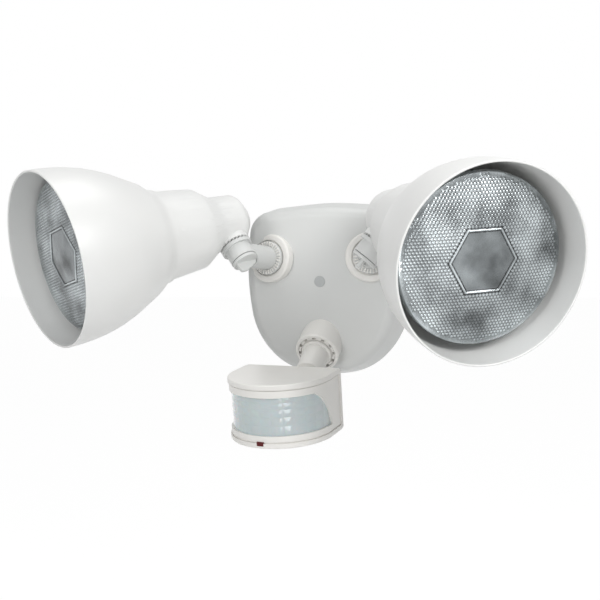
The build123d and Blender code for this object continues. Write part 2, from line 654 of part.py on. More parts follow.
with BuildPart() as hood:
    with BuildSketch(Plane.XZ):
        with BuildLine():
            skin = Spline(*[(r, z) for z, r in HOOD_OUTLINE])
            rim = skin @ 1
            neck = skin @ 0
            Line(rim, (rim.X - HOOD_WALL, rim.Y))
            lining = Spline(*[(r - HOOD_WALL, z) for z, r in reversed(HOOD_OUTLINE)])
            Line(lining @ 1, neck)
        make_face()
    revolve(axis=Axis.Z)
place(hood.part, "hood", LAMP_PLANES)

skirt_r, skirt_level = HOUSING_CORNERS[-1]
skirt_slope = (mouth_r - skirt_r) / (mouth_level - skirt_level)
gasket_r = skirt_r + skirt_slope * (GASKET_START - skirt_level) - HOUSING_WALL - GASKET_FIT
with BuildPart() as bulb_gasket:
    with BuildSketch(Plane.XY.offset(GASKET_START)):
        Circle(gasket_r)
        Circle(BULB_NECK_R + GASKET_FIT, mode=Mode.SUBTRACT)
    extrude(amount=GASKET_THICKNESS)
place(bulb_gasket.part, "bulb_gasket", LAMP_PLANES)

with BuildPart() as socket_porcelain:
    with BuildSketch(Plane.XY.offset(HOLDER_BASE)):
        Circle(HOLDER_R)
    extrude(amount=HOLDER_TOP - HOLDER_BASE)
    chamfer(socket_porcelain.edges().sort_by(Axis.Z)[-1], HOLDER_EDGE)
    with BuildSketch(Plane.XY.offset(HOLDER_BASE + HOLDER_FLOOR)):
        Circle(SHELL_R)
    extrude(amount=HOLDER_TOP, mode=Mode.SUBTRACT)
    with BuildSketch(Plane.XY.offset(HOLDER_BASE)):
        with Locations((0, -HOLDER_SCREW_Y), (0, HOLDER_SCREW_Y)):
            Circle(HOLDER_SCREW_R)
    extrude(amount=HOLDER_FLOOR, mode=Mode.SUBTRACT)
place(socket_porcelain.part, "socket_porcelain", LAMP_PLANES)

with BuildPart() as socket_shell:
    with BuildSketch(Plane.XY.offset(SHELL_BASE)):
        Circle(SHELL_R)
        Circle(SHELL_R - SHELL_WALL, mode=Mode.SUBTRACT)
    extrude(amount=SHELL_TOP - SHELL_BASE)
place(socket_shell.part, "socket_shell", LAMP_PLANES)

with BuildPart() as socket_contact:
    with BuildSketch(Plane.XY.offset(HOLDER_BASE + HOLDER_FLOOR)):
        Circle(CONTACT_R)
    extrude(amount=CONTACT_THICKNESS)
place(socket_contact.part, "socket_contact", LAMP_PLANES)

holder_floor_top = HOLDER_BASE + HOLDER_FLOOR
with BuildPart() as socket_screws:
    with BuildSketch(Plane.XY.offset(holder_floor_top)):
        with Locations((0, -HOLDER_SCREW_Y), (0, HOLDER_SCREW_Y)):
            Circle(HOLDER_SCREW_R)
    extrude(amount=-HOLDER_SCREW_LENGTH)
    with BuildSketch(Plane.XY.offset(holder_floor_top)):
        with Locations((0, -HOLDER_SCREW_Y), (0, HOLDER_SCREW_Y)):
            Circle(HOLDER_SCREW_HEAD_R)
    extrude(amount=HOLDER_SCREW_HEAD)
place(socket_screws.part, "socket_screws", LAMP_PLANES)

with BuildPart() as bulb_base:
    with BuildSketch(Plane.XZ):
        with BuildLine():
            Polyline((0, BULB_TIP), (CAP_TIP_R, BULB_TIP), (CAP_TIP_R, BULB_TIP + CAP_INSULATOR),
                     (CAP_R, CAP_START), (CAP_R, CAP_END), (0, CAP_END), close=True)
        make_face()
    revolve(axis=Axis.Z)
place(bulb_base.part, "bulb_base", LAMP_PLANES)

with BuildPart() as bulb_reflector:
    with BuildSketch(Plane.XZ):
        with BuildLine():
            glass = Spline(*[(r, z) for z, r in REFLECTOR_OUTLINE])
            Polyline(glass @ 1, (BULB_R, LENS_SEAT - 0.4), (BULB_R, LENS_SEAT),
                     (BULB_R - 3, LENS_SEAT),
                     (REFLECTOR_OUTLINE[-1][1] - BULB_GLASS, REFLECTOR_OUTLINE[-1][0]))
            mirror_side = Spline(*[(r - BULB_GLASS, z + 0.6) for z, r in REFLECTOR_OUTLINE[:-1]],
                                 (REFLECTOR_OUTLINE[-1][1] - BULB_GLASS, REFLECTOR_OUTLINE[-1][0]))
            Polyline(mirror_side @ 0, (0, BULB_NECK_END + 0.6), (0, CAP_END), (CAP_R, CAP_END),
                     (BULB_NECK_R, BULB_NECK_START), glass @ 0)
        make_face()
    revolve(axis=Axis.Z)
place(bulb_reflector.part, "bulb_reflector", LAMP_PLANES)

with BuildPart() as bulb_burner:
    with BuildSketch(Plane.XY.offset(BULB_NECK_END + 0.6)):
        Circle(BURNER_R)
    extrude(amount=BURNER_TOP - BULB_NECK_END)
    fillet(bulb_burner.edges().sort_by(Axis.Z)[-1], BURNER_R * 0.6)
place(bulb_burner.part, "bulb_burner", LAMP_PLANES)

for side in SIDE_SIGN:
    with BuildPart() as bulb_lens:
        with BuildSketch(Plane.XZ):
            with BuildLine():
                dome_top = LENS_EDGE + LENS_DOME
                Line((0, dome_top - LENS_THICKNESS), (0, dome_top))
                ThreePointArc((0, dome_top), (BULB_R / 2, dome_top - LENS_DOME * 0.24),
                              (BULB_R - 1.2, LENS_EDGE))
                Polyline((BULB_R - 1.2, LENS_EDGE), (BULB_R, LENS_EDGE - 1), (BULB_R, LENS_SEAT),
                         (BULB_R - 4, LENS_SEAT))
                ThreePointArc((BULB_R - 4, LENS_SEAT),
                              (BULB_R / 2, dome_top - LENS_THICKNESS - LENS_DOME * 0.24),
                              (0, dome_top - LENS_THICKNESS))
            make_face()
        revolve(axis=Axis.Z)
        with BuildSketch(Plane.XY.offset(LENS_EDGE)):
            RegularPolygon(HEXAGON_R, 6, rotation=HEXAGON_TURN[side])
        extrude(amount=LENS_DOME + HEXAGON_HEIGHT)
    place(bulb_lens.part, "bulb_lens", {side: LAMP_PLANES[side]})

# ---- sensor arm: Z down and forward along the arm ---------------------------------------
with BuildPart() as sensor_arm:
    with BuildSketch(Plane.XY.offset(STEM_NIPPLE_END)):
        Circle(STEM_NIPPLE_R)
    extrude(amount=CUP_FLOOR - STEM_NIPPLE_END)
    with BuildSketch(Plane.XY.offset(CUP_FLOOR)):
        Circle(STEM_FLANGE_R)
    extrude(amount=STEM_FLANGE_THICKNESS)
    with BuildSketch(Plane.XY.offset(CUP_FLOOR)):
        Circle(STEM_R)
    extrude(amount=STEM_END - CUP_FLOOR)
    with BuildSketch(Plane.XY.offset(STEM_RING_START)):
        Circle(STEM_RING_R)
    extrude(amount=STEM_RING_THICKNESS)
    chamfer(sensor_arm.edges().filter_by(GeomType.CIRCLE).filter_by(
        lambda edge: abs(edge.radius - STEM_RING_R) < 0.01).sort_by(Axis.Z)[-1], STEM_RING_EDGE)
    with BuildSketch(Plane.XY.offset(STEM_END)):
        Circle(STEM_R)
    extrude(amount=(STEM_R - BALL_STEM_R) / tan(radians(STEM_TAPER)), taper=STEM_TAPER)
    with BuildSketch(Plane.XY.offset(STEM_END)):
        Circle(BALL_STEM_R)
    extrude(amount=BALL_REACH - STEM_END)
    with Locations((0, 0, BALL_REACH)):
        Sphere(BALL_R)
    with BuildSketch(Plane.XY.offset(STEM_NIPPLE_END)):
        Circle(WIRE_BORE_R)
    extrude(amount=STEM_END - STEM_R - STEM_NIPPLE_END, mode=Mode.SUBTRACT)
place_one(sensor_arm.part, "sensor_arm", STEM_PLANE)

ring_base = CUP_FLOOR + STEM_FLANGE_THICKNESS
with BuildPart() as sensor_slotted_ring:
    with BuildSketch(Plane.XY.offset(ring_base)):
        Circle(SLOTTED_RING_R)
        Circle(STEM_R, mode=Mode.SUBTRACT)
    extrude(amount=SLOTTED_RING_TOP - ring_base)
    with Locations((0, 0, SLOTTED_RING_TOP)):
        with PolarLocations(SLOTTED_RING_R, SLOT_COUNT):
            Box(SLOTTED_RING_R, SLOT_WIDTH, SLOT_DEPTH * 2, mode=Mode.SUBTRACT)
place_one(sensor_slotted_ring.part, "sensor_slotted_ring", STEM_PLANE)

with BuildPart() as sensor_arm_nut:
    with BuildSketch(Plane.XY.offset(CUP_BASE - SENSOR_NUT_THICKNESS)):
        RegularPolygon(SENSOR_NUT_ACROSS / 2, 6, major_radius=False)
        Circle(STEM_NIPPLE_R, mode=Mode.SUBTRACT)
    extrude(amount=SENSOR_NUT_THICKNESS)
place_one(sensor_arm_nut.part, "sensor_arm_nut", STEM_PLANE)

# ---- sensor head: -Y is its front, Z up --------------------------------------------------
ball = HEAD_PLANE.to_local_coords(BALL_CENTRE)
mouth = HEAD_PLANE.to_local_coords(BALL_CENTRE + STEM_INWARD) - ball
mouth_plane = Plane(ball, x_dir=(1, 0, 0), z_dir=mouth)
liner_outer = BALL_R + LINER_FIT + LINER_WALL
head_top = HEAD_HEIGHT / 2
body_half = HEAD_HALF_WIDTH - VISOR_LIP
cavity_half = body_half - HEAD_WALL
cavity_top = head_top - HEAD_PLATE


def head_face(half_width, back):
    """Plan of the head: straight sides and a half-round front."""
    Line((-half_width, back), (half_width, back))
    Line((half_width, back), (half_width, -HEAD_STRAIGHT))
    ThreePointArc((half_width, -HEAD_STRAIGHT), (0, -HEAD_STRAIGHT - half_width),
                  (-half_width, -HEAD_STRAIGHT))
    Line((-half_width, -HEAD_STRAIGHT), (-half_width, back))


def head_slab(half_width, back, low, high):
    """A slab of the head's plan between two levels."""
    with BuildPart() as slab:
        with BuildSketch(Plane.XY.offset(low)):
            with BuildLine():
                head_face(half_width, back)
            make_face()
        extrude(amount=high - low)
    return slab.part


def mouth_cone(half_angle, depth):
    """Room for the stem to swing in, opening from the ball's centre."""
    with BuildPart() as cone:
        with Locations(mouth_plane):
            Cone(0.01, depth * sin(radians(half_angle)) / cos(radians(half_angle)), depth,
                 align=(Align.CENTER, Align.CENTER, Align.MIN))
    return cone.part


groove_top = head_top - VISOR_THICKNESS
plate_slabs = [head_slab(HEAD_HALF_WIDTH, 0, groove_top, head_top)]
plate_slabs += [head_slab(HEAD_HALF_WIDTH, 0, -head_top, -groove_top)]
groove_slabs = []
for level in (groove_top, -groove_top - BAND_GROOVE_WIDTH):
    ring = head_slab(HEAD_HALF_WIDTH + 1, 1, level, level + BAND_GROOVE_WIDTH)
    groove_slabs.append(ring - head_slab(body_half - BAND_GROOVE_DEPTH, 1, level, level + BAND_GROOVE_WIDTH))

with BuildPart() as sensor_front_housing:
    add(head_slab(body_half, 0, -head_top, head_top))
    add(plate_slabs)
    front_rim = sensor_front_housing.edges().group_by(Axis.Z)
    fillet(front_rim[-1].filter_by(GeomType.CIRCLE) + front_rim[0].filter_by(GeomType.CIRCLE), HEAD_EDGE_R)
    add(groove_slabs, mode=Mode.SUBTRACT)
    add(head_slab(cavity_half, 1, -cavity_top, cavity_top), mode=Mode.SUBTRACT)
    with BuildSketch(Plane.YZ):
        with BuildLine():
            Line((-HEAD_HEIGHT * 2, WINDOW_TOP), (WINDOW_FRONT_TOP, WINDOW_TOP))
            ThreePointArc((WINDOW_FRONT_TOP, WINDOW_TOP), WINDOW_MIDDLE,
                          (WINDOW_FRONT_BOTTOM, WINDOW_BOTTOM))
            Polyline((WINDOW_FRONT_BOTTOM, WINDOW_BOTTOM), (-HEAD_HEIGHT * 2, WINDOW_BOTTOM),
                     (-HEAD_HEIGHT * 2, WINDOW_TOP))
        make_face()
    extrude(amount=HEAD_HALF_WIDTH * 1.2, both=True, mode=Mode.SUBTRACT)
    with BuildSketch(Plane.XZ.offset(COVER_LIP_DEPTH)):
        with GridLocations(2 * CASE_SCREW_X, 2 * CASE_SCREW_Z, 2, 2):
            Circle(CASE_POST_R)
            Circle(CASE_SCREW_R, mode=Mode.SUBTRACT)
    extrude(amount=CASE_POST_LENGTH)
    with Locations((0, -HEAD_STRAIGHT - body_half, LED_Z)):
        Box(LED_WIDTH, HEAD_WALL * 4, LED_HEIGHT, mode=Mode.SUBTRACT)
    with BuildSketch(Plane.XY.offset(-head_top)):
        with Locations((DIAL_X, SWITCH_Y)):
            Circle(DIAL_R + DIAL_FIT)
    extrude(amount=CONTROL_DEPTH, mode=Mode.SUBTRACT)
    with BuildSketch(Plane.XY.offset(-head_top)):
        with Locations((DIAL_X, SWITCH_Y)):
            Circle(DIAL_SHAFT_R + RUNNING_CLEARANCE)
        with Locations((SWITCH_X, SWITCH_Y)):
            Rectangle(*SWITCH_SLOT)
    extrude(amount=HEAD_PLATE, mode=Mode.SUBTRACT)
place_one(sensor_front_housing.part, "sensor_front_housing", HEAD_PLANE)

with BuildPart() as sensor_back_cover:
    with BuildSketch(Plane.XZ):
        RectangleRounded(2 * HEAD_HALF_WIDTH, HEAD_HEIGHT, HEAD_EDGE_R * 2)
    extrude(amount=-COVER_THICKNESS)
    lip_width = 2 * (cavity_half - COVER_FIT)
    lip_height = 2 * (cavity_top - COVER_FIT)
    with BuildSketch(Plane.XZ):
        Rectangle(lip_width, lip_height)
        Rectangle(lip_width - 2 * COVER_LIP, lip_height - 2 * COVER_LIP, mode=Mode.SUBTRACT)
    extrude(amount=COVER_LIP_DEPTH - COVER_FIT)
    with BuildSketch(Plane.XZ):
        with GridLocations(2 * BOARD_POST_X, 2 * BOARD_POST_Z, 2, 2):
            Circle(BOARD_POST_R)
    extrude(amount=-BOARD_Y)
    with BuildSketch(Plane.XZ.offset(-COVER_THICKNESS)):
        with GridLocations(2 * CASE_SCREW_X, 2 * CASE_SCREW_Z, 2, 2):
            Circle(CASE_SCREW_R)
    extrude(amount=COVER_THICKNESS + COVER_LIP_DEPTH, mode=Mode.SUBTRACT)
    fillet(sensor_back_cover.faces().sort_by(Axis.Y)[-1].outer_wire().edges(), HEAD_EDGE_R)
place_one(sensor_back_cover.part, "sensor_back_cover", HEAD_PLANE)

lens_low = WINDOW_BOTTOM - LENS_MARGIN
lens_high = WINDOW_TOP + LENS_MARGIN
frame_outer = cavity_half - LENS_SHEET
with BuildPart() as sensor_lens:
    add(head_slab(cavity_half, LENS_BACK, lens_low, lens_high))
    add(head_slab(frame_outer, 1, lens_low, lens_high), mode=Mode.SUBTRACT)
place_one(sensor_lens.part, "sensor_lens", HEAD_PLANE)

with BuildPart() as sensor_lens_frame:
    add(head_slab(frame_outer, LENS_BACK, lens_low, lens_high))
    add(head_slab(frame_outer - FRAME_RAIL, 1, lens_low, lens_high), mode=Mode.SUBTRACT)
    with Locations((0, LENS_BACK - FRAME_DEPTH, (lens_low + lens_high) / 2)):
        Box(HEAD_HALF_WIDTH * 3, HEAD_HALF_WIDTH * 3, lens_high - lens_low - 2 * FRAME_RAIL,
            align=(Align.CENTER, Align.MAX, Align.CENTER), mode=Mode.SUBTRACT)
place_one(sensor_lens_frame.part, "sensor_lens_frame", HEAD_PLANE)

with BuildPart() as led_window:
    add(head_slab(HEAD_HALF_WIDTH - LED_SUNK, 0, LED_Z - LED_HEIGHT / 2, LED_Z + LED_HEIGHT / 2))
    with Locations((0, -HEAD_STRAIGHT - body_half, LED_Z)):
        Box(LED_WIDTH, HEAD_WALL * 4, LED_HEIGHT, mode=Mode.INTERSECT)
place_one(led_window.part, "led_window", HEAD_PLANE)

with BuildPart() as circuit_board:
    with BuildSketch(Plane.XZ.offset(-BOARD_Y)):
        Rectangle(BOARD_WIDTH, BOARD_HEIGHT)
    extrude(amount=BOARD_THICKNESS)
place_one(circuit_board.part, "circuit_board", HEAD_PLANE)

board_front = -BOARD_Y + BOARD_THICKNESS
with BuildPart() as pir_detector:
    with BuildSketch(Plane.XZ.offset(board_front)):
        Circle(DETECTOR_R)
    extrude(amount=DETECTOR_HEIGHT)
place_one(pir_detector.part, "pir_detector", HEAD_PLANE)

with BuildPart() as relay:
    with BuildSketch(Plane.XZ.offset(board_front)):
        with Locations((RELAY_X, 0)):
            Rectangle(RELAY_SIZE[0], RELAY_SIZE[2])
    extrude(amount=RELAY_SIZE[1])
place_one(relay.part, "relay", HEAD_PLANE)

with BuildPart() as photocell:
    with BuildSketch(Plane.XZ.offset(board_front)):
        with Locations((PHOTOCELL_X, 0)):
            Circle(PHOTOCELL_R)
    extrude(amount=PHOTOCELL_LENGTH)
place_one(photocell.part, "photocell", HEAD_PLANE)

with BuildPart() as on_time_switch:
    with BuildSketch(Plane.XY.offset(-head_top - SWITCH_PROUD)):
        with Locations((SWITCH_X, SWITCH_Y)):
            Rectangle(*SWITCH_KNOB)
    extrude(amount=HEAD_PLATE + SWITCH_PROUD)
    with BuildSketch(Plane.XY.offset(-cavity_top)):
        with Locations((SWITCH_X, SWITCH_Y)):
            Rectangle(SWITCH_SLOT[0], SWITCH_SLOT[1] + 3)
    extrude(amount=SWITCH_PROUD)
place_one(on_time_switch.part, "on_time_switch", HEAD_PLANE)

with BuildPart() as range_dial:
    with BuildSketch(Plane.XY.offset(-head_top + CONTROL_DEPTH)):
        with Locations((DIAL_X, SWITCH_Y)):
            Circle(DIAL_R)
    extrude(amount=-CONTROL_DEPTH)
    with BuildSketch(Plane.XY.offset(-head_top)):
        with Locations((DIAL_X, SWITCH_Y)):
            Rectangle(2 * DIAL_R, DIAL_SLOT)
    extrude(amount=DIAL_SLOT, mode=Mode.SUBTRACT)
    with BuildSketch(Plane.XY.offset(-head_top + CONTROL_DEPTH)):
        with Locations((DIAL_X, SWITCH_Y)):
            Circle(DIAL_SHAFT_R)
    extrude(amount=HEAD_PLATE)
place_one(range_dial.part, "range_dial", HEAD_PLANE)

with BuildPart() as sensor_screws:
    with BuildSketch(Plane.XZ.offset(-COVER_THICKNESS)):
        with GridLocations(2 * CASE_SCREW_X, 2 * CASE_SCREW_Z, 2, 2):
            Circle(CASE_SCREW_R)
    extrude(amount=CASE_SCREW_LENGTH)
    with BuildSketch(Plane.XZ.offset(-COVER_THICKNESS)):
        with GridLocations(2 * CASE_SCREW_X, 2 * CASE_SCREW_Z, 2, 2):
            Circle(CASE_SCREW_HEAD_R)
    extrude(amount=-CASE_SCREW_HEAD)
place_one(sensor_screws.part, "sensor_screws", HEAD_PLANE)

# ---- ball joint between the sensor's arm and its head --------------------------------------
ear_centre = (ball.X, ball.Y, ball.Z - EAR_DROP)
with BuildPart() as ball_clamp:
    with Locations(ball):
        Sphere(CLAMP_R)
    with BuildSketch(Plane.XZ.offset(-COVER_THICKNESS)):
        with Locations((ball.X, ball.Z)):
            Circle(CLAMP_R)
    extrude(amount=COVER_THICKNESS - ball.Y)
    with Locations(ear_centre):
        Box(*EAR_SIZE)
    with Locations((ball.X, COVER_THICKNESS, ball.Z)):
        Box(CLAMP_R * 4, CLAMP_R * 4, CLAMP_R * 6, align=(Align.CENTER, Align.MAX, Align.CENTER),
            mode=Mode.SUBTRACT)
    with Locations(ball):
        Sphere(liner_outer + CLAMP_FIT, mode=Mode.SUBTRACT)
    add(mouth_cone(MOUTH_HALF_ANGLE, CLAMP_R), mode=Mode.SUBTRACT)
    with Locations((ball.X, ball.Y, ball.Z)):
        Box(CLAMP_SLIT, CLAMP_R * 4, CLAMP_R * 4, align=(Align.CENTER, Align.CENTER, Align.MAX),
            mode=Mode.SUBTRACT)
    with BuildSketch(Plane.YZ.offset(ball.X - EAR_SIZE[0] / 2)):
        with Locations((ball.Y, ball.Z - EAR_DROP)):
            Circle(CLAMP_SCREW_R)
    extrude(amount=EAR_SIZE[0], mode=Mode.SUBTRACT)
place_one(ball_clamp.part, "ball_clamp", HEAD_PLANE)

with BuildPart() as ball_liner:
    with Locations(ball):
        Sphere(liner_outer)
        Sphere(BALL_R + LINER_FIT, mode=Mode.SUBTRACT)
    add(mouth_cone(LINER_HALF_ANGLE, CLAMP_R), mode=Mode.SUBTRACT)
place_one(ball_liner.part, "ball_liner", HEAD_PLANE)

ear_right = ball.X + EAR_SIZE[0] / 2
with BuildPart() as clamp_screw:
    with BuildSketch(Plane.YZ.offset(ear_right)):
        with Locations((ball.Y, ball.Z - EAR_DROP)):
            Circle(CLAMP_SCREW_R)
    extrude(amount=-EAR_SIZE[0] - CLAMP_SCREW_NUT_THICKNESS)
    with BuildSketch(Plane.YZ.offset(ear_right)):
        with Locations((ball.Y, ball.Z - EAR_DROP)):
            Circle(CLAMP_SCREW_HEAD_R)
    extrude(amount=CLAMP_SCREW_HEAD)
place_one(clamp_screw.part, "clamp_screw", HEAD_PLANE)

with BuildPart() as clamp_screw_nut:
    with BuildSketch(Plane.YZ.offset(ball.X - EAR_SIZE[0] / 2)):
        with Locations((ball.Y, ball.Z - EAR_DROP)):
            RegularPolygon(CLAMP_SCREW_NUT / 2, 6, major_radius=False)
            Circle(CLAMP_SCREW_R, mode=Mode.SUBTRACT)
    extrude(amount=-CLAMP_SCREW_NUT_THICKNESS)
place_one(clamp_screw_nut.part, "clamp_screw_nut", HEAD_PLANE)
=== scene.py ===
import json
from math import pi, radians

import bmesh
import bpy
import numpy as np
from mathutils import Matrix, Vector


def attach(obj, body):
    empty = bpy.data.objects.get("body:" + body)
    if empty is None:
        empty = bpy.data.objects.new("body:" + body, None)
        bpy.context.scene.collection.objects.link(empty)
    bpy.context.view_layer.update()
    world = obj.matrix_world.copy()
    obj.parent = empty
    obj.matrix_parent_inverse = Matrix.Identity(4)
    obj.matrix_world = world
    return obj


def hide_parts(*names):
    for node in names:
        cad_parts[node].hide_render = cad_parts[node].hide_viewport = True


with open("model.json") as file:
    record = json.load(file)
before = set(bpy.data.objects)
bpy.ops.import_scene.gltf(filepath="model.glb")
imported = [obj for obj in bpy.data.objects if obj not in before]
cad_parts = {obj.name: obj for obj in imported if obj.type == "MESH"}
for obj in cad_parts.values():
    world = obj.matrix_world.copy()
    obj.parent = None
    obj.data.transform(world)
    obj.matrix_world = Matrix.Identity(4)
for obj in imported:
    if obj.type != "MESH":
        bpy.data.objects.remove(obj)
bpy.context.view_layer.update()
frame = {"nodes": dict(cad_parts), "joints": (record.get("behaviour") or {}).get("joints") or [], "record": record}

bl_info = {
    "name": "Twin Lamp Security Light",
    "version": (1, 0, 0),
    "blender": (4, 5, 0),
    "location": "3D View > Sidebar > Security Light",
    "description": "Hooded reflector lamps, swivel arms, canopy and motion sensor of a wall light",
    "category": "Add Mesh",
}

MM = 0.001                     # lengths are in millimetres, apart from those that say metres
WELD = 1e-6                    # metres within which two points become one
CAD_WELD = 2e-6
FLAT_ANGLE = 0.6               # degrees: faces that bend by less become one
CREASE_ANGLE = 28.0            # degrees: edges that bend by more are sharp in the shading
GRID_CREASE, SOFT_CREASE = 35.0, 60.0
EDGE_ANGLE = 40.0              # degrees: edges that bend by more are rounded
EDGE_SEGMENTS = 2
ARC_STEPS = 7                  # points on a rounded corner
SIDES = ("left", "right")
JOINTS = {joint["name"]: joint for joint in frame["joints"]}
BODIES = frame["record"]["behaviour"]["bodies"]
BODY_OF = {node: body for body, nodes in BODIES.items() for node in nodes}

SWIVEL_OFFSET = 35.0           # beam to the lamp's tilting joint
HOOD_SKIN = ((39.6, 66.4), (40.0, 69.4), (46.4, 80.0), (52.7, 92.0), (59.2, 106.0),
             (64.8, 122.0), (68.2, 138.0), (69.5, 152.0), (69.7, 165.3))    # radius, level

HEAD_ORIGIN = (-5.2, -100.0, -93.6)    # middle of the sensor head's back
FACE_R = 60.3                  # bulb's face, and the level that its mirror reaches
SEAT_LEVEL = 141.0


# ---- frames and outlines -------------------------------------------------------------

def placed(x, y, z, origin):
    """Place of a frame, 4x4 in metres, from its three axes and its origin."""
    place = np.eye(4)
    place[:3] = np.stack([x, y, z, origin], -1)
    return place


def lamp_frame(side):
    """Place of one lamp: X along its swivel, Z along its beam, origin where they cross."""
    tilt = JOINTS[f"{side}_lamp_tilt"]
    swivel = np.array(tilt["axis"])
    beam = JOINTS[f"{side}_bulb_unscrew"]["axis"]
    origin = np.array(tilt["pos_m"]) - swivel * SWIVEL_OFFSET * MM
    return placed(swivel, np.cross(beam, swivel), beam, origin)


def head_frame():
    """Place of the sensor head: X along the switch's slide, Z along the dial's axis."""
    x = JOINTS["on_time_slide"]["axis"]
    z = JOINTS["range_dial_turn"]["axis"]
    return placed(x, np.cross(z, x), z, np.array(HEAD_ORIGIN) * MM)


def stem_frame():
    """Place of the sensor's arm: Z along it, X level, origin in the canopy's cup."""
    turn = JOINTS["sensor_arm_turn"]
    x = (1.0, 0.0, 0.0)
    return placed(x, np.cross(turn["axis"], x), turn["axis"], turn["pos_m"])


def boss_frame(side):
    """Place of an arm's swivel on the canopy: Z along the arm, X level."""
    turn = JOINTS[f"{side}_arm_turn"]
    level = np.cross((0.0, 0.0, 1.0), turn["axis"])
    x = level / np.linalg.norm(level)
    return placed(x, np.cross(turn["axis"], x), turn["axis"], turn["pos_m"])


def smooth_curve(points, count):
    """Natural cubic spline through points, sampled evenly: piecewise cubics whose slopes and bends agree
    at each point and whose bend is nought at both ends, with the chord lengths as its parameter."""
    knots = np.asarray(points, float)
    spans = np.linalg.norm(np.diff(knots, axis=0), axis=1)
    at = np.concatenate([[0.0], np.cumsum(spans)])
    size = len(knots)
    system = np.eye(size)
    bends = np.zeros_like(knots)
    inner = np.arange(1, size - 1)
    system[inner, inner - 1] = spans[:-1]
    system[inner, inner] = 2 * (spans[:-1] + spans[1:])
    system[inner, inner + 1] = spans[1:]
    slopes = np.diff(knots, axis=0) / spans[:, None]
    bends[inner] = 6 * np.diff(slopes, axis=0)
    second = np.linalg.solve(system, bends)
    where = np.linspace(0, at[-1], count)
    k = np.clip(np.searchsorted(at, where, side="right") - 1, 0, size - 2)
    before = (where - at[k])[:, None]
    after = (at[k + 1] - where)[:, None]
    h = spans[k][:, None]
    curve = (second[k] * after**3 + second[k + 1] * before**3) / (6 * h)
    curve += (knots[k] / h - second[k] * h / 6) * after
    curve += (knots[k + 1] / h - second[k + 1] * h / 6) * before
    return curve


def rounded(corners, radii):
    """Outline through corners. One with a radius gives way to an arc tangent to both its sides, whose
    centre is on the corner's bisector, its radius over the sine of half the corner's angle away."""
    corners = np.asarray(corners, float)
    outline = []
    for i, (corner, radius) in enumerate(zip(corners, radii)):
        if radius <= 0:
            outline.append(corner[None])
            continue
        back = corners[i - 1] - corner
        ahead = corners[i + 1] - corner
        back /= np.linalg.norm(back)
        ahead /= np.linalg.norm(ahead)
        half = np.arccos(np.clip(back @ ahead, -1, 1)) / 2
        centre = corner + (back + ahead) / np.linalg.norm(back + ahead) * radius / np.sin(half)
        start = corner + back * radius / np.tan(half) - centre
        end = corner + ahead * radius / np.tan(half) - centre
        share = np.linspace(0, 1, ARC_STEPS)[:, None]
        sweep = pi - 2 * half
        arc = (np.sin((1 - share) * sweep) * start + np.sin(share * sweep) * end) / np.sin(sweep)
        outline.append(centre + arc)
    return np.concatenate(outline)


def turned_at(profile, angle):
    """Surface of revolution about Z: each (radius, level) of the profile, at each of some angles."""
    radius = profile[:, 0, None]
    level = np.broadcast_to(profile[:, 1, None], (len(profile), len(angle)))
    return np.stack([radius * np.cos(angle), radius * np.sin(angle), level], axis=-1)


def turned(profile, steps):
    """Surface of revolution about Z, once round in equal steps."""
    return turned_at(profile, np.linspace(0, 2 * pi, steps, endpoint=False))


# ---- meshes ----------------------------------------------------------------------------

def link(name, mesh, node, material, *replaced):
    """Puts a finished mesh on the body of a node, in its material, in place of some nodes."""
    piece = bpy.data.objects.new(name, mesh)
    bpy.context.scene.collection.objects.link(piece)
    mesh.materials.clear()
    mesh.materials.append(material)
    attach(piece, BODY_OF[node])
    if replaced:
        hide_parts(*replaced)
    return piece


def shade(mesh, sharp):
    """Smooth shading, apart from edges that bend by more than an angle in degrees."""
    mesh.polygons.foreach_set("use_smooth", np.ones(len(mesh.polygons), bool))
    mesh.set_sharp_from_angle(angle=radians(sharp))


def grid_faces(rows, columns, closed_rows, closed_columns):
    """Quads of a grid of points, each from one point to its neighbours along and across."""
    r = np.arange(rows if closed_rows else rows - 1)
    c = np.arange(columns if closed_columns else columns - 1)
    r, c = np.meshgrid(r, c, indexing="ij")
    above = (r + 1) % rows
    beside = (c + 1) % columns
    quads = np.stack([r * columns + c, r * columns + beside,
                      above * columns + beside, above * columns + c], -1)
    return quads.reshape(-1, 4)


def grid_mesh(name, points, place, closed_rows=False, closed_columns=True, sharp=GRID_CREASE, uv=None,
              values=None):
    """Mesh of a grid of points given in a frame of its own. Points that meet at a pole or a seam become
    one, and the faces are turned outwards. Values become the point attribute of the lens's painted light and
    shade."""
    rows, columns = points.shape[:2]
    flat = points.reshape(-1, 3) * MM
    flat = flat @ place[:3, :3].T + place[:3, 3]
    quads = grid_faces(rows, columns, closed_rows, closed_columns)
    mesh = bpy.data.meshes.new(name)
    mesh.from_pydata(flat, [], quads)
    if uv is not None:
        layer = mesh.uv_layers.new(name="UVMap")
        layer.uv.foreach_set("vector", uv.reshape(-1, 2)[quads.ravel()].astype(np.float32).ravel())
    if values is not None:
        mesh.attributes.new("painted_lightness", "FLOAT", "POINT").data.foreach_set("value", values.ravel())
    tidy = bmesh.new()
    tidy.from_mesh(mesh)
    bmesh.ops.remove_doubles(tidy, verts=tidy.verts, dist=WELD)
    bmesh.ops.recalc_face_normals(tidy, faces=tidy.faces)
    tidy.to_mesh(mesh)
    tidy.free()
    shade(mesh, sharp)
    return mesh


def joined(name, *meshes):
    """One mesh of several, with the points that they share made one and the faces turned outwards."""
    tidy = bmesh.new()
    for mesh in meshes:
        tidy.from_mesh(mesh)
        bpy.data.meshes.remove(mesh)
    bmesh.ops.remove_doubles(tidy, verts=tidy.verts, dist=WELD)
    bmesh.ops.recalc_face_normals(tidy, faces=tidy.faces)
    whole = bpy.data.meshes.new(name)
    tidy.to_mesh(whole)
    tidy.free()
    shade(whole, SOFT_CREASE)
    return whole


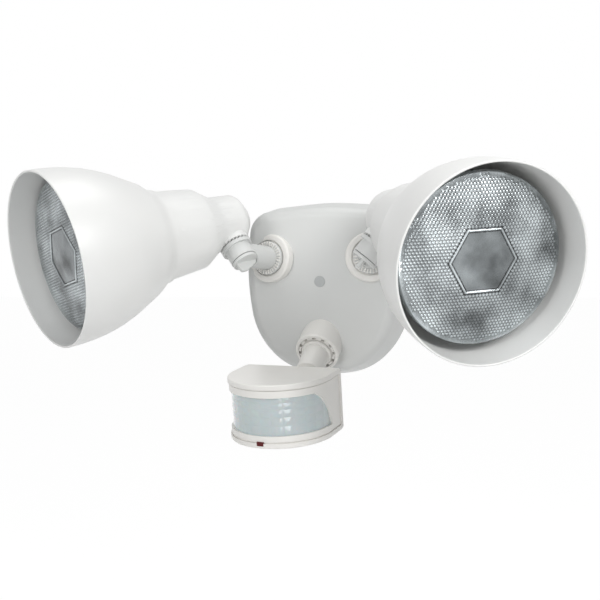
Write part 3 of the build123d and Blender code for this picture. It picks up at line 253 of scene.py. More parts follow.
def merged_copy(node):
    """A node's own mesh with its loose triangles joined and its flat faces made whole again."""
    mesh = frame["nodes"][node].data.copy()
    tidy = bmesh.new()
    tidy.from_mesh(mesh)
    bmesh.ops.remove_doubles(tidy, verts=tidy.verts, dist=CAD_WELD)
    bmesh.ops.dissolve_limit(tidy, angle_limit=radians(FLAT_ANGLE), verts=tidy.verts, edges=tidy.edges)
    tidy.to_mesh(mesh)
    tidy.free()
    return mesh


def finished_node(node, material, edge):
    """A rigid node with its edges broken by a rounding so many millimetres wide, shaded smooth."""
    mesh = merged_copy(node)
    shade(mesh, CREASE_ANGLE)
    piece = link(f"{node}_finished", mesh, node, material, node)
    if edge > 0:
        rounding = piece.modifiers.new("edge", "BEVEL")
        rounding.width = edge * MM
        rounding.segments = EDGE_SEGMENTS
        rounding.limit_method = "ANGLE"
        rounding.angle_limit = radians(EDGE_ANGLE)
        rounding.use_clamp_overlap = True
        rounding.harden_normals = False
    weighted = piece.modifiers.new("flat faces", "WEIGHTED_NORMAL")
    weighted.keep_sharp = True


# ---- materials -------------------------------------------------------------------------

def linear(code):
    """An sRGB hex colour as linear red, green, blue and alpha."""
    parts = np.array([int(code[i:i + 2], 16) for i in (1, 3, 5)]) / 255
    parts = np.where(parts <= 0.04045, parts / 12.92, ((parts + 0.055) / 1.055) ** 2.4)
    return (*parts, 1.0)


def add(tree, kind, inputs=None, **properties):
    """Adds one node. Each of its inputs is given a number, a colour or another node's output."""
    made = tree.nodes.new(kind)
    for key, value in properties.items():
        setattr(made, key, value)
    for key, value in (inputs or {}).items():
        if isinstance(value, bpy.types.NodeSocket):
            tree.links.new(value, made.inputs[key])
        else:
            made.inputs[key].default_value = value
    return made


def computed(tree, operation, *values):
    """Output of one step of arithmetic."""
    return add(tree, "ShaderNodeMath", dict(enumerate(values)), operation=operation).outputs[0]


def mixed(tree, factor, low, high):
    """Output of a mix of two colours."""
    return add(tree, "ShaderNodeMix", {0: factor, 6: low, 7: high}, data_type="RGBA").outputs[2]


def noise(tree, where, millimetres, detail=2.0):
    """Noise whose patches are about so many millimetres wide."""
    return add(tree, "ShaderNodeTexNoise", {"Vector": where, "Scale": 1 / (millimetres * MM),
                                            "Detail": detail}).outputs["Fac"]


def graded(tree, value, low, high):
    """Output of a value from 0 to 1 spread over another range."""
    return add(tree, "ShaderNodeMapRange", {"Value": value, "To Min": low,
                                            "To Max": high}).outputs["Result"]


def raised(tree, height, strength, millimetres):
    """Normal of a surface that a height from 0 to 1 lifts by so many millimetres."""
    return add(tree, "ShaderNodeBump", {"Height": height, "Strength": strength,
                                        "Distance": millimetres * MM}).outputs["Normal"]


def new_material(name):
    """An empty node material and its surface shader."""
    material = bpy.data.materials.new(name)
    material.use_nodes = True
    tree = material.node_tree
    shader = tree.nodes["Principled BSDF"]
    return material, tree, shader


DRIFT = (60.0, 3.0, 0.0, 1.0)  # width and detail of the clouds, lowest and highest share
GLOSS_NOISE = (9.0, 4.0)       # width and detail of the noise that the roughness follows
GLOSS_RANGE = (0.85, 1.15)
GRAIN_STRENGTH = 0.5


def moulded(name, code, shade_code, roughness, grain, depth, ior=1.49, clouds=DRIFT):
    """Solid material with soft colour drift over the piece and a fine even grain.

    The drift mixes two colours by cloudy noise, the roughness follows finer noise, and the bump is noise
    as wide as the real grain, in millimetres, and as deep."""
    material, tree, shader = new_material(name)
    where = add(tree, "ShaderNodeTexCoord").outputs["Object"]
    width, detail, low, high = clouds
    cloud = graded(tree, noise(tree, where, width, detail), low, high)
    tree.links.new(mixed(tree, cloud, linear(code), linear(shade_code)), shader.inputs["Base Color"])
    dullest, glossiest = roughness * GLOSS_RANGE[1], roughness * GLOSS_RANGE[0]
    tree.links.new(graded(tree, noise(tree, where, *GLOSS_NOISE), glossiest, dullest),
                   shader.inputs["Roughness"])
    tree.links.new(raised(tree, noise(tree, where, grain), GRAIN_STRENGTH, depth),
                   shader.inputs["Normal"])
    shader.inputs["IOR"].default_value = ior
    return material, shader


def powder_coat_with_painted_shade():
    """White powder coat on a die casting: baked polyester, whose faint orange peel dulls its gloss. Its colour is
    a greyer white than the hoods': partly the coat's own tone and partly painted shade, which darkens the canopy
    and the arms.
    """
    # Greyer white than the hoods: partly the coat's own tone, partly painted shade.
    return moulded("powder_coat_white", "#d6d7d5", "#ced0cf", 0.42, 1.6, 0.05)[0]


def moulded_hood_plastic():
    """Injection moulded white polycarbonate, satin from a spark-eroded tool: whiter than the coat."""
    return moulded("polycarbonate_white", "#e8e8e6", "#e2e3e2", 0.36, 0.9, 0.03, 1.58)[0]


def moulded_sensor_plastic():
    """Injection moulded white ABS with a light gloss, a touch creamier than the lamps."""
    return moulded("abs_white", "#eceae6", "#e6e5e1", 0.33, 0.8, 0.02, 1.53)[0]


def nylon_liner():
    """Unfilled moulded nylon: waxy and faintly yellow, so the ball slides in it."""
    return moulded("nylon_natural", "#dcd8cb", "#d2cec0", 0.45, 0.7, 0.02, 1.53)[0]


def rubber_plug():
    """Moulded silicone, greyer than the plastics round it and without gloss, so the plug shows."""
    return moulded("silicone_white", "#b9bcbc", "#b2b5b5", 0.6, 0.6, 0.03, 1.41)[0]


def foam_gasket():
    """Closed-cell EPDM foam, die cut: black, with open pores half a millimetre wide on its cut faces."""
    return moulded("epdm_foam_black", "#1a1a1a", "#232323", 0.85, 0.5, 0.3, 1.5)[0]


def black_moulding():
    """Injection moulded black ABS of the relay and the two controls, with a low gloss."""
    return moulded("abs_black", "#141414", "#1b1b1c", 0.4, 0.6, 0.02, 1.53)[0]


def glazed_porcelain():
    """Dry-pressed steatite under a clear glaze: ivory, with a wet-looking gloss."""
    material, shader = moulded("porcelain_ivory", "#e9e4d6", "#ded8c8", 0.2, 3.0, 0.04, 1.6)
    shader.inputs["Coat Weight"].default_value = 0.6
    shader.inputs["Coat Roughness"].default_value = 0.05
    return material


def board_laminate():
    """Glass-epoxy laminate under green solder mask: deep green, with the weave's shallow ripple."""
    return moulded("laminate_green", "#1d5a2e", "#174a26", 0.35, 1.2, 0.04, 1.55)[0]


def metal(name, code, shade_code, roughness, grain):
    """Plated metal: two close colours drift over the piece, and fine noise varies its gloss."""
    material, shader = moulded(name, code, shade_code, roughness, grain, 0.03, 1.5)
    shader.inputs["Metallic"].default_value = 1.0
    return material


def zinc_plated_steel():
    """Bright zinc on pressed or turned steel: a cold grey with a faint bluish bloom."""
    return metal("zinc_plate", "#b9bcbf", "#a7abb0", 0.34, 0.8)


def nickel_plated_brass():
    """Nickel on drawn brass: a warm silver, since the thin plate lets some yellow through."""
    return metal("nickel_brass", "#c9bfa2", "#b5a884", 0.28, 0.6)


def green_ground_screw():
    """Green dip coat on a steel grounding screw: a glossy signal green."""
    return moulded("ground_green", "#1f7a35", "#1a6a2e", 0.35, 0.7, 0.03)[0]


def aluminised_reflector():
    """Aluminium vapour film on pressed glass: a mirror with the slight waviness of the pressed surface.
    Its colour is a painted reflection: darker and brighter cloudy patches 14 mm wide, like a room seen in the
    mirror, so the lens isn't evenly bright."""
    # Painted reflection: the clouds mix the darker and the brighter silver in patches.
    material, shader = moulded("aluminium_film", "#c6cacc", "#fafbfb", 0.06, 4.0, 0.12,
                               clouds=(14.0, 5.0, -1.3, 2.3))
    shader.inputs["Metallic"].default_value = 1.0
    return material


def glass(name, roughness):
    """Glass shaped in a mould or a flame: clear, with ripples 5 mm wide that bend what shows through."""
    material, tree, shader = new_material(name)
    where = add(tree, "ShaderNodeTexCoord").outputs["Object"]
    tree.links.new(raised(tree, noise(tree, where, 5.0), 0.3, 0.05), shader.inputs["Normal"])
    shader.inputs["Transmission Weight"].default_value = 1.0
    shader.inputs["Roughness"].default_value = roughness
    shader.inputs["IOR"].default_value = 1.47
    return material, shader


def frosted_quartz():
    """Burner tube drawn from quartz and frosted: grey and dim, since the lamp is off."""
    material, shader = glass("quartz_frosted", 0.15)
    shader.inputs["Base Color"].default_value = linear("#8f9497")
    return material


def lens_glass():
    """Pressed borosilicate lens, whose base colour is painted light and shade from the piece's attribute of
    painted lightness,
    from smoke to clear: painted shade where the small lenses meet and beside the hexagon's ridge, where light
    bends away, and painted highlights on the small lenses' middles and on the ridge. The film behind shows through
    each of them as a spark of silver, which the metallic share stands for. Over it lies a painted reflection in
    cloudy patches 28 mm wide, bright and dark like a room seen in the mirror."""
    material, shader = glass("lens_pressed", 0.09)
    tree = material.node_tree
    painted_lightness = add(tree, "ShaderNodeAttribute", attribute_name="painted_lightness").outputs["Fac"]
    where = add(tree, "ShaderNodeTexCoord").outputs["Object"]
    # Painted reflection: bright and dark cloudy patches, like a room seen in the mirror.
    cloud = graded(tree, noise(tree, where, 28.0, 6.0), 2.1, -0.5)
    painted_lightness = computed(tree, "MULTIPLY", painted_lightness, cloud)
    shader.inputs["Transmission Weight"].default_value = 0.6
    shader.inputs["Metallic"].default_value = 0.55
    # Painted light and shade: the base colour runs from near black to a pale blue-white.
    tree.links.new(mixed(tree, painted_lightness, linear("#0e1214"), linear("#f0f8fb")),
                   shader.inputs["Base Color"])
    return material


def red_window():
    """Clear red polycarbonate in front of the indicator lamp: deep wine red while the lamp is off."""
    return moulded("polycarbonate_red", "#5e0406", "#480305", 0.35, 1.0, 0.01, 1.4)[0]


def photocell_face():
    """Cadmium sulphide cell under clear resin: glossy, tan with a slow drift to brown."""
    return moulded("photocell", "#b4643a", "#8f4b2a", 0.25, 0.8, 0.01)[0]


def fresnel_sheet():
    """Infrared lens sheet of milky polyethylene, 1 mm thick, with rings pressed into its inner face.

    The piece's UV map runs along the sheet and up it, in metres. It is folded into cells, and in each
    the distance from its middle is folded once more, which gives ridges that lie evenly apart. The
    sheet looks milky and faintly blue, with a wet gloss that breaks up over its raised cells."""
    material, tree, shader = new_material("polyethylene_milky")
    spot = add(tree, "ShaderNodeTexCoord").outputs["UV"]
    parts = add(tree, "ShaderNodeSeparateXYZ", {"Vector": spot})
    half_width, half_height, ridge = 5.5 * MM, 8.0 * MM, 0.45 * MM
    across = computed(tree, "PINGPONG", parts.outputs["X"], half_width)
    up = computed(tree, "PINGPONG", parts.outputs["Y"], half_height)
    squares = [computed(tree, "MULTIPLY", reach, reach) for reach in (across, up)]
    far = computed(tree, "SQRT", computed(tree, "ADD", *squares))
    rings = computed(tree, "DIVIDE", computed(tree, "PINGPONG", far, ridge), ridge)
    tree.links.new(raised(tree, rings, 0.1, 0.04), shader.inputs["Normal"])
    tree.links.new(mixed(tree, noise(tree, spot, 25.0), linear("#c2ccce"), linear("#b4c0c2")),
                   shader.inputs["Base Color"])
    shader.inputs["Roughness"].default_value = 0.12
    shader.inputs["IOR"].default_value = 1.51
    shader.inputs["Coat Weight"].default_value = 1.0
    shader.inputs["Coat Roughness"].default_value = 0.04
    shader.inputs["Subsurface Weight"].default_value = 0.25
    shader.inputs["Subsurface Scale"].default_value = 1.5 * MM
    return material


MAKERS = {
    "coat": powder_coat_with_painted_shade, "hood": moulded_hood_plastic, "sensor": moulded_sensor_plastic,
    "nylon": nylon_liner, "plug": rubber_plug, "foam": foam_gasket, "black": black_moulding,
    "porcelain": glazed_porcelain, "board": board_laminate, "zinc": zinc_plated_steel,
    "nickel": nickel_plated_brass, "ground": green_ground_screw, "mirror": aluminised_reflector,
    "lens": lens_glass, "quartz": frosted_quartz, "red": red_window, "photocell": photocell_face,
    "film": fresnel_sheet,
}
MATERIALS = {}


def finish(name):
    """The material so called, made the first time that a piece asks for it."""
    if name not in MATERIALS:
        MATERIALS[name] = MAKERS[name]()
    return MATERIALS[name]


def finish_nodes(finishes, prefix=""):
    """Replaces nodes by their own meshes, in the finish and with the rounding that a table gives."""
    for node, (material, edge) in finishes.items():
        finished_node(prefix + node, finish(material), edge)


# ---- settings --------------------------------------------------------------------------

def length(name, description, default):
    """A length setting in metres, its default given in millimetres."""
    return bpy.props.FloatProperty(name=name, description=description, default=default * MM,
                                   min=0.0, unit="LENGTH", precision=5)


class LampSettings(bpy.types.PropertyGroup):
    """Sizes of both hoods and bulbs"""
    hood_wall: length("Hood wall", "Thickness of the hood at its rim", 1.7)
    cell_pitch: length("Lens cell pitch", "Distance between the small lenses on the bulb's face", 2.5)
    cell_height: length("Lens cell height", "How far each small lens stands out", 0.5)
    hexagon_reach: length("Hexagon", "Centre of the bulb's face to a corner of its hexagon", 24.5)
    ridge_height: length("Hexagon ridge", "Height of the ridge round the hexagon", 0.9)
    steps: bpy.props.IntProperty(name="Steps", description="Faces round a hood", default=144,
                                 min=24, max=360)


class SensorSettings(bpy.types.PropertyGroup):
    """Sizes of the sensor"""
    lens_sheet: length("Lens sheet", "Thickness of the sensor's lens sheet", 1.0)


class StageSettings(bpy.types.PropertyGroup):
    """Camera and floor"""
    focal_length: bpy.props.FloatProperty(name="Focal length", description="Camera lens in millimetres",
                                          default=53.86, min=10.0, max=300.0)
    floor_drop: length("Floor", "How far the floor lies under the wall bolt", 330.0)


# ---- lamps -----------------------------------------------------------------------------

class AddHoods(bpy.types.Operator):
    """Adds the two bell-shaped hoods, turned from one profile with a rounded lip"""
    bl_idname = "security_light.add_hoods"
    bl_label = "Add Hoods"

    ROWS, LIP_ROWS = 72, 9

    def execute(self, context):
        """The profile runs up the skin's spline, over half a circle as wide as the wall and back down a
        wall's thickness further in: (R - w/2 + w/2 cos a, L - w/2 + w/2 sin a) at the lip."""
        settings = context.scene.lamp_settings
        wall = settings.hood_wall / MM
        outer = smooth_curve(HOOD_SKIN, self.ROWS)
        lip_angle = np.linspace(0, pi, self.LIP_ROWS)[1:-1]
        rim_r, rim_level = outer[-1]
        lip = np.stack([rim_r - wall / 2 + wall / 2 * np.cos(lip_angle),
                        rim_level - wall / 2 + wall / 2 * np.sin(lip_angle)], -1)
        outer[-1, 1] -= wall / 2
        lining = outer[::-1] - (wall, 0)
        profile = np.concatenate([outer, lip, lining])
        for side in SIDES:
            mesh = grid_mesh(f"{side}_hood_shell", turned(profile, settings.steps), lamp_frame(side),
                             closed_rows=True)
            link(f"{side}_hood_shell", mesh, f"{side}_hood", finish("hood"), f"{side}_hood")
        return {"FINISHED"}


def hexagon_distance(x, y, turn):
    """Distance from the centre measured square to the nearest side of a turned hexagon."""
    angles = radians(turn) + pi / 6 + np.arange(3) * pi / 3
    reach = [np.abs(x * np.cos(a) + y * np.sin(a)) for a in angles]
    return np.maximum(np.maximum(reach[0], reach[1]), reach[2])


def nearest_lattice_point(x, y, pitch, turn):
    """Nearest point of a triangular lattice. Its rows lie square to three directions 60 degrees apart,
    the whole turns of three waves along them add up to nought, and the worst of the three when rounded
    is worked out again from the other two."""
    reach = pitch * np.cos(pi / 6)
    first, second = radians(turn) + pi / 6, radians(turn) + pi / 2
    turns = np.stack([x * np.cos(first) + y * np.sin(first),
                      -(x * np.cos(second) + y * np.sin(second))]) / reach
    turns = np.concatenate([turns, -turns.sum(0, keepdims=True)])
    whole = np.round(turns)
    miss = np.abs(whole - turns)
    worst = miss.argmax(0)
    for i in range(3):
        others = whole.sum(0) - whole[i]
        whole[i] = np.where(worst == i, -others, whole[i])
    along, across = whole[0] * reach, -whole[1] * reach
    spread = np.sin(second - first)
    return ((along * np.sin(second) - across * np.sin(first)) / spread,
            (across * np.cos(first) - along * np.cos(second)) / spread)


class AddBulbs(bpy.types.Operator):
    """Adds the reflector bulbs: pressed lens with its small lenses and hexagon, mirror and burner"""
    bl_idname = "security_light.add_bulbs"
    bl_label = "Add Bulbs"

    FACE_LEVEL = 145.8
    DOME = 4.2
    GLASS = 3.4
    CELLS_END = 57.6
    BAND = 2.4                     # plain glass round the hexagon
    RIDGE_HALF = 0.75
    BAND_END = 1.6                 # of the hexagon's reach, past which plain glass is as outside
    LENS_RIM = 4.0                 # width of the ring that the lens stands on
    EDGE_INSET, EDGE_R = 0.6, 0.8  # rounding between the face and the lens's side
    BACK_ROWS = 14
    HEXAGON_TURN = {"left": 2.0, "right": 12.0}    # degrees
    ACROSS, QUICK_ACROSS = 281, 121                # points across the face
    # Painted light and shade of plain glass: outside the hexagon, inside it, and on the lens's back.
    FLAT_CLEAR, HEXAGON_CLEAR, BACK_CLEAR = 0.5, 0.4, 0.7    # plain glass outside and in the hexagon
    MIRROR = ((16.0, 61.6), (21.4, 66.6), (30.4, 76.6), (39.8, 90.6), (48.8, 108.6), (55.0, 126.6),
              (58.2, 139.5))
    MIRROR_ROWS, MIRROR_STEPS = 40, 120
    MIRROR_GLASS, MIRROR_RIM = 1.6, 0.6    # thickness of the wall and of the rim
    NECK = ((17.0, 61.0), (17.0, 46.0), (13.1, 41.5), (0.0, 41.5))
    FINISHES = {"bulb_burner": ("quartz", 0.3), "bulb_base": ("nickel", 0.2)}

    def dome(self, radius):
        """Level of the face: a shallow bowl that falls with the square of the radius."""
        return self.FACE_LEVEL + self.DOME * (1 - (radius / FACE_R) ** 2)

    def face(self, settings, turn):
        """The front of the lens, and its painted light and shade at each point: painted shade where the small
        lenses meet and in a band beside the hexagon, and painted highlights on each small lens's middle and on the
        hexagon's ridge.

        A square grid is pressed into a disc so that each of its squares, one inside the other, becomes a
        circle, which keeps its cells about equal. Each small lens is a low dome round the nearest point
        of a triangular lattice, 1 - (distance / reach)^2 high, and it is there whole or not at all."""
        lines = np.linspace(-1, 1, self.ACROSS)
        u, v = np.meshgrid(lines, lines, indexing="ij")
        longer = np.maximum(np.abs(u), np.abs(v))
        wide = np.abs(u) >= np.abs(v)
        safe = np.where(longer > 0, longer, 1.0)
        angle = np.where(wide, pi / 4 * v / safe * np.sign(u) + np.where(u < 0, pi, 0.0),
                         pi / 2 - pi / 4 * u / safe * np.sign(v) + np.where(v < 0, pi, 0.0))
        radius = longer * self.CELLS_END
        x = radius * np.cos(angle)
        y = radius * np.sin(angle)
        pitch = settings.cell_pitch / MM
        centre_x, centre_y = nearest_lattice_point(x, y, pitch, turn)
        distance = np.hypot(x - centre_x, y - centre_y)
        apothem = settings.hexagon_reach / MM * np.cos(pi / 6)
        whole = (np.hypot(centre_x, centre_y) < self.CELLS_END - pitch / 2)
        whole &= hexagon_distance(centre_x, centre_y, turn) > apothem + self.BAND
        bulge = np.where(whole, 1 - (distance * np.sqrt(3) / pitch) ** 2, 0.0)
        beyond = hexagon_distance(x, y, turn) - apothem
        ridge = np.exp(-((beyond / self.RIDGE_HALF) ** 4))
        level = (self.dome(radius) + bulge * settings.cell_height / MM
                 + ridge * settings.ridge_height / MM)
        near = radius < self.BAND_END * settings.hexagon_reach / MM
        # Painted shade in the band beside the hexagon and where the small lenses meet; painted highlight on each
        # lens's middle and on the ridge.
        band = (beyond > -2 * self.RIDGE_HALF) & ~whole & near
        plain = np.where(beyond < 0, self.HEXAGON_CLEAR, self.FLAT_CLEAR)
        clear = np.where(whole, bulge, np.where(band, 0.0, plain))
        clear = np.maximum(clear, ridge)
        return np.stack([x, y, level], -1), clear

    def rest_of_lens(self):
        """The lens's plain rim, its rounded edge and its hollow back, as a turned profile."""
        seat_r = FACE_R - self.LENS_RIM
        corners = [(self.CELLS_END, self.dome(self.CELLS_END)),
                   (FACE_R - self.EDGE_INSET, self.dome(FACE_R)),
                   (FACE_R, SEAT_LEVEL), (seat_r, SEAT_LEVEL)]
        edge = rounded(corners, (0, self.EDGE_R, 0, 0))
        inner_r = np.linspace(seat_r, 0, self.BACK_ROWS)[1:]
        rise = self.dome(0) - self.GLASS - SEAT_LEVEL
        inner = np.stack([inner_r, SEAT_LEVEL + rise * (1 - (inner_r / seat_r) ** 2)], -1)
        return np.concatenate([edge, inner])

    def mirror_shell(self):
        """The mirror's turned profile: its floor, the spline, a rim under the lens, and the way back
        behind the glass to the neck."""
        mirror = smooth_curve(self.MIRROR, self.MIRROR_ROWS)
        outside = mirror[::-1] + (self.MIRROR_GLASS, 0.0)
        middle = [(0.0, self.MIRROR[0][1])]
        rim = [(FACE_R, SEAT_LEVEL), (FACE_R, SEAT_LEVEL - self.MIRROR_RIM)]
        return np.concatenate([middle, mirror, rim, outside[1:], self.NECK])

    def execute(self, context):
        settings = context.scene.lamp_settings
        shell = turned(self.mirror_shell(), self.MIRROR_STEPS)
        for side in SIDES:
            place = lamp_frame(side)
            face, clear = self.face(settings, self.HEXAGON_TURN[side])
            front = grid_mesh(f"{side}_bulb_front", face, place, closed_columns=False, values=clear)
            border = np.concatenate([face[:-1, 0], face[-1, :-1], face[:0:-1, -1], face[0, :0:-1]])
            angle = np.arctan2(border[:, 1], border[:, 0])
            rest = turned_at(self.rest_of_lens(), angle)
            rest[0, :, 2] = border[:, 2]
            back = grid_mesh(f"{side}_bulb_back", rest, place,
                             values=np.full(rest.shape[:2], self.BACK_CLEAR))
            lens = joined(f"{side}_bulb_face", front, back)
            link(f"{side}_bulb_face", lens, f"{side}_bulb_lens", finish("lens"), f"{side}_bulb_lens")
            cup = grid_mesh(f"{side}_bulb_mirror", shell, place)
            link(f"{side}_bulb_mirror", cup, f"{side}_bulb_reflector", finish("mirror"),
                 f"{side}_bulb_reflector")
            finish_nodes(self.FINISHES, f"{side}_")
        return {"FINISHED"}


class AddSockets(bpy.types.Operator):
    """Adds the socket housings, holders, gaskets, arms and wing screws"""
    bl_idname = "security_light.add_sockets"
    bl_label = "Add Sockets and Arms"

    FINISHES = {"socket_housing": ("hood", 0.35), "arm": ("coat", 0.25), "wing_screw": ("coat", 0.6),
                "bulb_gasket": ("foam", 0.3), "socket_porcelain": ("porcelain", 0.3),
                "socket_shell": ("nickel", 0.0), "socket_contact": ("nickel", 0.2),
                "socket_screws": ("zinc", 0.2), "clamp_nut": ("zinc", 0.2), "arm_washer": ("zinc", 0.1),
                "arm_nut": ("zinc", 0.3)}

    def execute(self, context):
        for side in SIDES:
            finish_nodes(self.FINISHES, f"{side}_")
        return {"FINISHED"}


# ---- canopy ----------------------------------------------------------------------------

class AddGripRings(bpy.types.Operator):
    """Adds the serrated ring round each arm where it leaves its boss"""
    bl_idname = "security_light.add_grip_rings"
    bl_label = "Add Grip Rings"

    TEETH, TOOTH_STEPS = 32, 12
    INNER, OUTER = 10.9, 14.8
    SEAT, TIPS = 4.4, 6.3          # levels over the arm's swivel point
    TOOTH_HEIGHT, TOOTH_DEPTH = 1.3, 0.5
    EDGE, CHAMFER, BORE_INSET = 0.3, 0.4, 0.5

    def execute(self, context):
        """The top and the outside of the ring are a rounded square wave of the angle, 1/2 + 1/2 tanh
        (3 cos (n angle)), with as many waves n as teeth."""
        angle = np.linspace(0, 2 * pi, self.TEETH * self.TOOTH_STEPS, endpoint=False)
        tooth = 0.5 + 0.5 * np.tanh(3 * np.cos(self.TEETH * angle))
        valley = self.TIPS - self.TOOTH_HEIGHT
        top = valley + (self.TIPS - valley) * tooth
        outside = self.OUTER - self.TOOTH_DEPTH * (1 - tooth)
        foot = np.full_like(angle, self.OUTER - self.CHAMFER)
        inner, seat = np.full_like(angle, self.INNER), np.full_like(angle, self.SEAT)
        radius = np.stack([inner, foot, outside, outside - self.EDGE, inner + self.BORE_INSET, inner])
        level = np.stack([seat, seat, top - self.EDGE, top, top, top - self.CHAMFER])
        points = np.stack([radius * np.cos(angle), radius * np.sin(angle), level], -1)
        for side in SIDES:
            mesh = grid_mesh(f"{side}_grip_ring", points, boss_frame(side), closed_rows=True)
            link(f"{side}_grip_ring", mesh, f"{side}_arm", finish("sensor"))
        return {"FINISHED"}


class AddCanopy(bpy.types.Operator):
    """Adds the canopy with its gasket, crossbar, bolt, plug and grounding screw"""
    bl_idname = "security_light.add_canopy"
    bl_label = "Add Canopy"

    FRONT = 38.3                   # wall plane to just in front of the flat front
    FINISHES = {"canopy_cover": ("coat", 0.4), "canopy_gasket": ("foam", 0.2),
                "mounting_strap": ("zinc", 0.2), "mounting_bolt": ("zinc", 0.2),
                "bolt_plug": ("plug", 0.2), "ground_screw": ("ground", 0.2)}

    def execute(self, context):
        """The faces of the cover that lie in front of its flat front, the bosses and the cup, take the sensor's
        lighter
        plastic finish: painted light, so they read brighter than the rest of the same casting."""
        finish_nodes(self.FINISHES)
        cover = bpy.data.objects["canopy_cover_finished"].data
        # Painted light: the bosses and the cup of the casting get the lighter sensor white.
        cover.materials.append(finish("sensor"))
        middle = np.empty(len(cover.polygons) * 3)
        cover.polygons.foreach_get("center", middle)
        cover.polygons.foreach_set("material_index", (middle[1::3] < -self.FRONT * MM).astype(np.int32))
        return {"FINISHED"}


# ---- sensor ----------------------------------------------------------------------------

class AddSensor(bpy.types.Operator):
    """Adds the sensor's arm, ball joint, housing and what is inside it"""
    bl_idname = "security_light.add_sensor"
    bl_label = "Add Sensor"

    FINISHES = {"sensor_arm": ("sensor", 0.3), "sensor_arm_nut": ("sensor", 0.3),
                "sensor_front_housing": ("sensor", 0.35), "sensor_back_cover": ("sensor", 0.35),
                "sensor_lens_frame": ("sensor", 0.1), "led_window": ("red", 0.2),
                "circuit_board": ("board", 0.1), "pir_detector": ("zinc", 0.3), "relay": ("black", 0.3),
                "photocell": ("photocell", 0.2), "on_time_switch": ("black", 0.2),
                "range_dial": ("black", 0.2), "sensor_screws": ("zinc", 0.2),
                "ball_clamp": ("sensor", 0.3), "ball_liner": ("nylon", 0.1),
                "clamp_screw": ("zinc", 0.2), "clamp_screw_nut": ("zinc", 0.2)}

    def execute(self, context):
        finish_nodes(self.FINISHES)
        return {"FINISHED"}


class AddSensorLens(bpy.types.Operator):
    """Adds the sensor's lens sheet, bent round the front, with five rows of raised cells"""
    bl_idname = "security_light.add_sensor_lens"
    bl_label = "Add Sensor Lens"

    RADIUS = 40.65
    STRAIGHT = 19.75               # back plane to the centre of the round front
    BACK = 9.0                     # back plane to the sheet's ends
    ROWS = (-16.5, -8.0, -1.0, 5.2, 10.4, 15.6)     # levels where the rows of cells meet
    CELLS = 16                     # along the sheet
    CELL_RISE = 0.3
    POINTS_ALONG, POINTS_UP = 401, 97

    def execute(self, context):
        """The sheet runs straight, round half a circle and straight back. Each of its cells is a pillow,
        (1 - u^2) (1 - v^2) high over its width u and height v, both from -1 to 1."""
        sheet = context.scene.sensor_settings.lens_sheet / MM
        side = self.STRAIGHT - self.BACK
        girth = 2 * side + pi * self.RADIUS
        along = np.linspace(0, girth, self.POINTS_ALONG)
        angle = np.clip((along - side) / self.RADIUS, 0, pi)
        back = np.maximum(side - along, 0) + np.maximum(along - side - pi * self.RADIUS, 0)
        normal = np.stack([np.cos(angle), -np.sin(angle)], -1)
        rows = np.array(self.ROWS)
        level = np.linspace(rows[0], rows[-1], self.POINTS_UP)
        u = along / girth * self.CELLS % 1 * 2 - 1
        row = np.clip(np.searchsorted(rows, level, side="right") - 1, 0, len(rows) - 2)
        low, high = rows[row], rows[row + 1]
        v = (level - low) / (high - low) * 2 - 1
        rise = self.CELL_RISE * (1 - u[:, None] ** 2) * (1 - v[None] ** 2)
        behind = np.full((len(along), 2), self.RADIUS - sheet)
        reach = np.concatenate([self.RADIUS - self.CELL_RISE + rise, behind], 1)
        x = reach * normal[:, None, 0]
        y = -self.STRAIGHT + reach * normal[:, None, 1] + back[:, None]
        z = np.broadcast_to(np.concatenate([level, level[[-1, 0]]]), x.shape)
        spread = np.stack([np.broadcast_to(along[:, None], x.shape), z], -1) * MM
        mesh = grid_mesh("sensor_lens_sheet", np.stack([x, y, z], -1), head_frame(), sharp=SOFT_CREASE,
                         uv=spread)
        link("sensor_lens_sheet", mesh, "sensor_lens", finish("film"), "sensor_lens")
        return {"FINISHED"}


class AddSlottedRing(bpy.types.Operator):
    """Adds the castellated ring that locks the sensor's arm in the canopy's cup"""
    bl_idname = "security_light.add_slotted_ring"
    bl_label = "Add Slotted Ring"

    SLOTS = 12
    SLOT_ANGLE = 11.0              # degrees
    TAB_TOP = 19.8                 # levels along the arm
    SLOT_FLOOR = 16.4
    SHOULDER, UNDERSIDE = 18.8, 10.85
    EDGE = 0.3
    STEPS = 360
    RADII = (11.3, 16.3, 16.3, 16.0, 14.4, 14.0, 11.3)    # underside, outside, top and bore

    def execute(self, context):
        """The profile goes round once, and its top drops to the slots' floor where a cosine with as many
        waves as slots is high enough."""
        angle = np.linspace(0, 2 * pi, self.STEPS, endpoint=False)
        slot = np.cos(angle * self.SLOTS) > np.cos(radians(self.SLOT_ANGLE / 2) * self.SLOTS)
        top = np.where(slot, self.SLOT_FLOOR, self.TAB_TOP)
        underside, shoulder = np.full_like(top, self.UNDERSIDE), np.full_like(top, self.SHOULDER)
        level = np.stack([underside, underside, top - self.EDGE, top, top, shoulder, shoulder])
        radius = np.array(self.RADII)[:, None]
        points = np.stack([radius * np.cos(angle), radius * np.sin(angle), level], -1)
        mesh = grid_mesh("sensor_castle_ring", points, stem_frame(), closed_rows=True)
        link("sensor_castle_ring", mesh, "sensor_slotted_ring", finish("sensor"), "sensor_slotted_ring")
        return {"FINISHED"}


# ---- stage -----------------------------------------------------------------------------

def seen_directly(tree):
    """1 for a ray from the camera, off a gloss or through glass, and 0 for one that carries light."""
    path = add(tree, "ShaderNodeLightPath").outputs
    opaque = computed(tree, "MAXIMUM", path["Is Camera Ray"], path["Is Glossy Ray"])
    return computed(tree, "MAXIMUM", opaque, path["Is Transmission Ray"])


